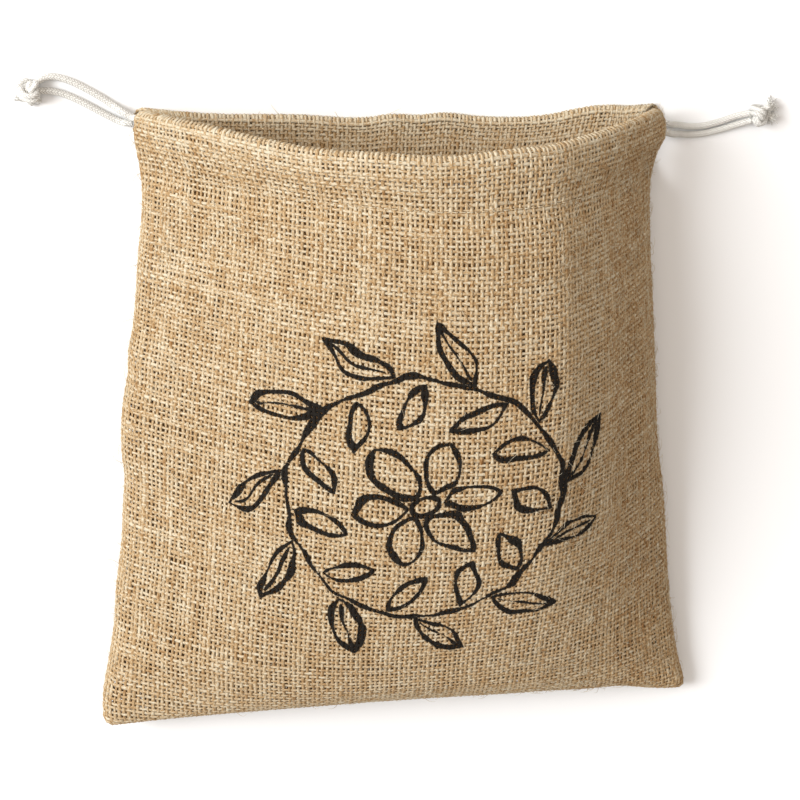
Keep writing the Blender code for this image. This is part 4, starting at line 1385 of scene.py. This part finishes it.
class SACK_OT_stage(bpy.types.Operator):
    """Add the floor, the lights and the camera at the photo's angle"""
    bl_idname = "sack.stage"
    bl_label = "Stage"

    def execute(self, context):
        stage = context.scene.sack_stage
        add_camera()
        add_floor(stage.floor)
        add_light("key light", KEY_PLACE, KEY_SIZE, stage.key, KEY_COLOUR)
        add_light("fill light", FILL_PLACE, FILL_SIZE, stage.fill, FILL_COLOUR)
        world = bpy.data.worlds.new("studio")
        context.scene.world = world
        world.use_nodes = True
        background = world.node_tree.nodes["Background"]
        background.inputs["Color"].default_value = stage.around
        background.inputs["Strength"].default_value = stage.strength
        context.scene.view_settings.view_transform = "Standard"
        return {"FINISHED"}


class SACK_OT_cloth(bpy.types.Operator):
    """Weave both panels, yarn by yarn, with their turned hems"""
    bl_idname = "sack.cloth"
    bl_label = "Woven panels"

    def execute(self, context):
        rng = np.random.default_rng(SEED)
        for side in PANELS:
            weave = Weave(side, rng)
            for axis, way in enumerate(("warp", "weft")):
                piece = lay_yarns(f"{side}_{way}", weave, rng, axis)
                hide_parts(f"{side}_panel")
        return {"FINISHED"}


class SACK_OT_hem_stitches(bpy.types.Operator):
    """Sew down both hems, below the drawcords"""
    bl_idname = "sack.hem_stitches"
    bl_label = "Hem stitches"

    def execute(self, context):
        for side in PANELS:
            hem_stitches(side)
        return {"FINISHED"}


class SACK_OT_loose_fibres(bpy.types.Operator):
    """Let loose fibres stand out of both panels"""
    bl_idname = "sack.loose_fibres"
    bl_label = "Loose fibres"

    def execute(self, context):
        cloth = context.scene.sack_cloth
        rng = np.random.default_rng(SEED + 1)
        for side in PANELS:
            count = round(cloth.hairs * FIBRE_SHARES[side])
            loose_fibres(side, count, cloth.hair_thickness, rng)
        return {"FINISHED"}


class SACK_OT_drawcords(bpy.types.Operator):
    """Lay both drawcords in the casings and knot each one's ends together"""
    bl_idname = "sack.drawcords"
    bl_label = "Drawcords and knots"

    def execute(self, context):
        cotton = cotton_cord()
        tied = tie_knot()
        for side in ("left", "right"):
            casing = casing_route(side)
            inside = smooth_route(casing, PLAIN_STEP)
            run = cord_mesh(f"drawcord_{side}_run",
                            [(inside, CORD_DIAMETER / 2 - PLAIN_THINNER, 0.0, PLAIN_SIDES)], cotton)
            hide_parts(f"drawcord_{side}")
            strands = {place: smooth_route(strand_route(side, place, casing), BRAID_STEP)
                       for place in ("front", "back")}
            knot = cord_mesh(f"knot_{side}_tied", knot_routes(side, tied, strands), cotton)
            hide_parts(f"knot_{side}", f"tail_{side}_upper", f"tail_{side}_lower")
            for place, route in strands.items():
                strand = cord_mesh(f"strand_{side}_{place}_braid",
                                   [(route, CORD_DIAMETER / 2, 0.0, BRAID_SIDES)], cotton)
                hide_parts(f"strand_{side}_{place}")
        return {"FINISHED"}


OPERATORS = (SACK_OT_stage, SACK_OT_cloth, SACK_OT_hem_stitches, SACK_OT_loose_fibres,
             SACK_OT_drawcords)
SETTINGS = {"sack_cloth": SackClothSettings, "sack_print": SackPrintSettings,
            "sack_cord": SackCordSettings, "sack_stage": SackStageSettings}


class SACK_PT_panel(bpy.types.Panel):
    """The sack's pieces and what can be changed on them"""
    bl_label = "Hessian drawstring sack"
    bl_space_type = "VIEW_3D"
    bl_region_type = "UI"
    bl_category = "Sack"

    def draw(self, context):
        for operator in OPERATORS:
            self.layout.operator(operator.bl_idname)
        for name, settings in SETTINGS.items():
            box = self.layout.box()
            for setting in settings.__annotations__:
                box.prop(getattr(context.scene, name), setting)


def register():
    for kind in (*SETTINGS.values(), *OPERATORS, SACK_PT_panel):
        bpy.utils.register_class(kind)
    for name, settings in SETTINGS.items():
        setattr(bpy.types.Scene, name, bpy.props.PointerProperty(type=settings))


def unregister():
    for name in SETTINGS:
        delattr(bpy.types.Scene, name)
    for kind in (SACK_PT_panel, *reversed(OPERATORS), *reversed(SETTINGS.values())):
        bpy.utils.unregister_class(kind)


def main():
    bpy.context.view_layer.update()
    register()
    bpy.ops.sack.stage()
    bpy.ops.sack.cloth()
    bpy.ops.sack.hem_stitches()
    bpy.ops.sack.loose_fibres()
    bpy.ops.sack.drawcords()


if __name__ == "__main__":
    main()
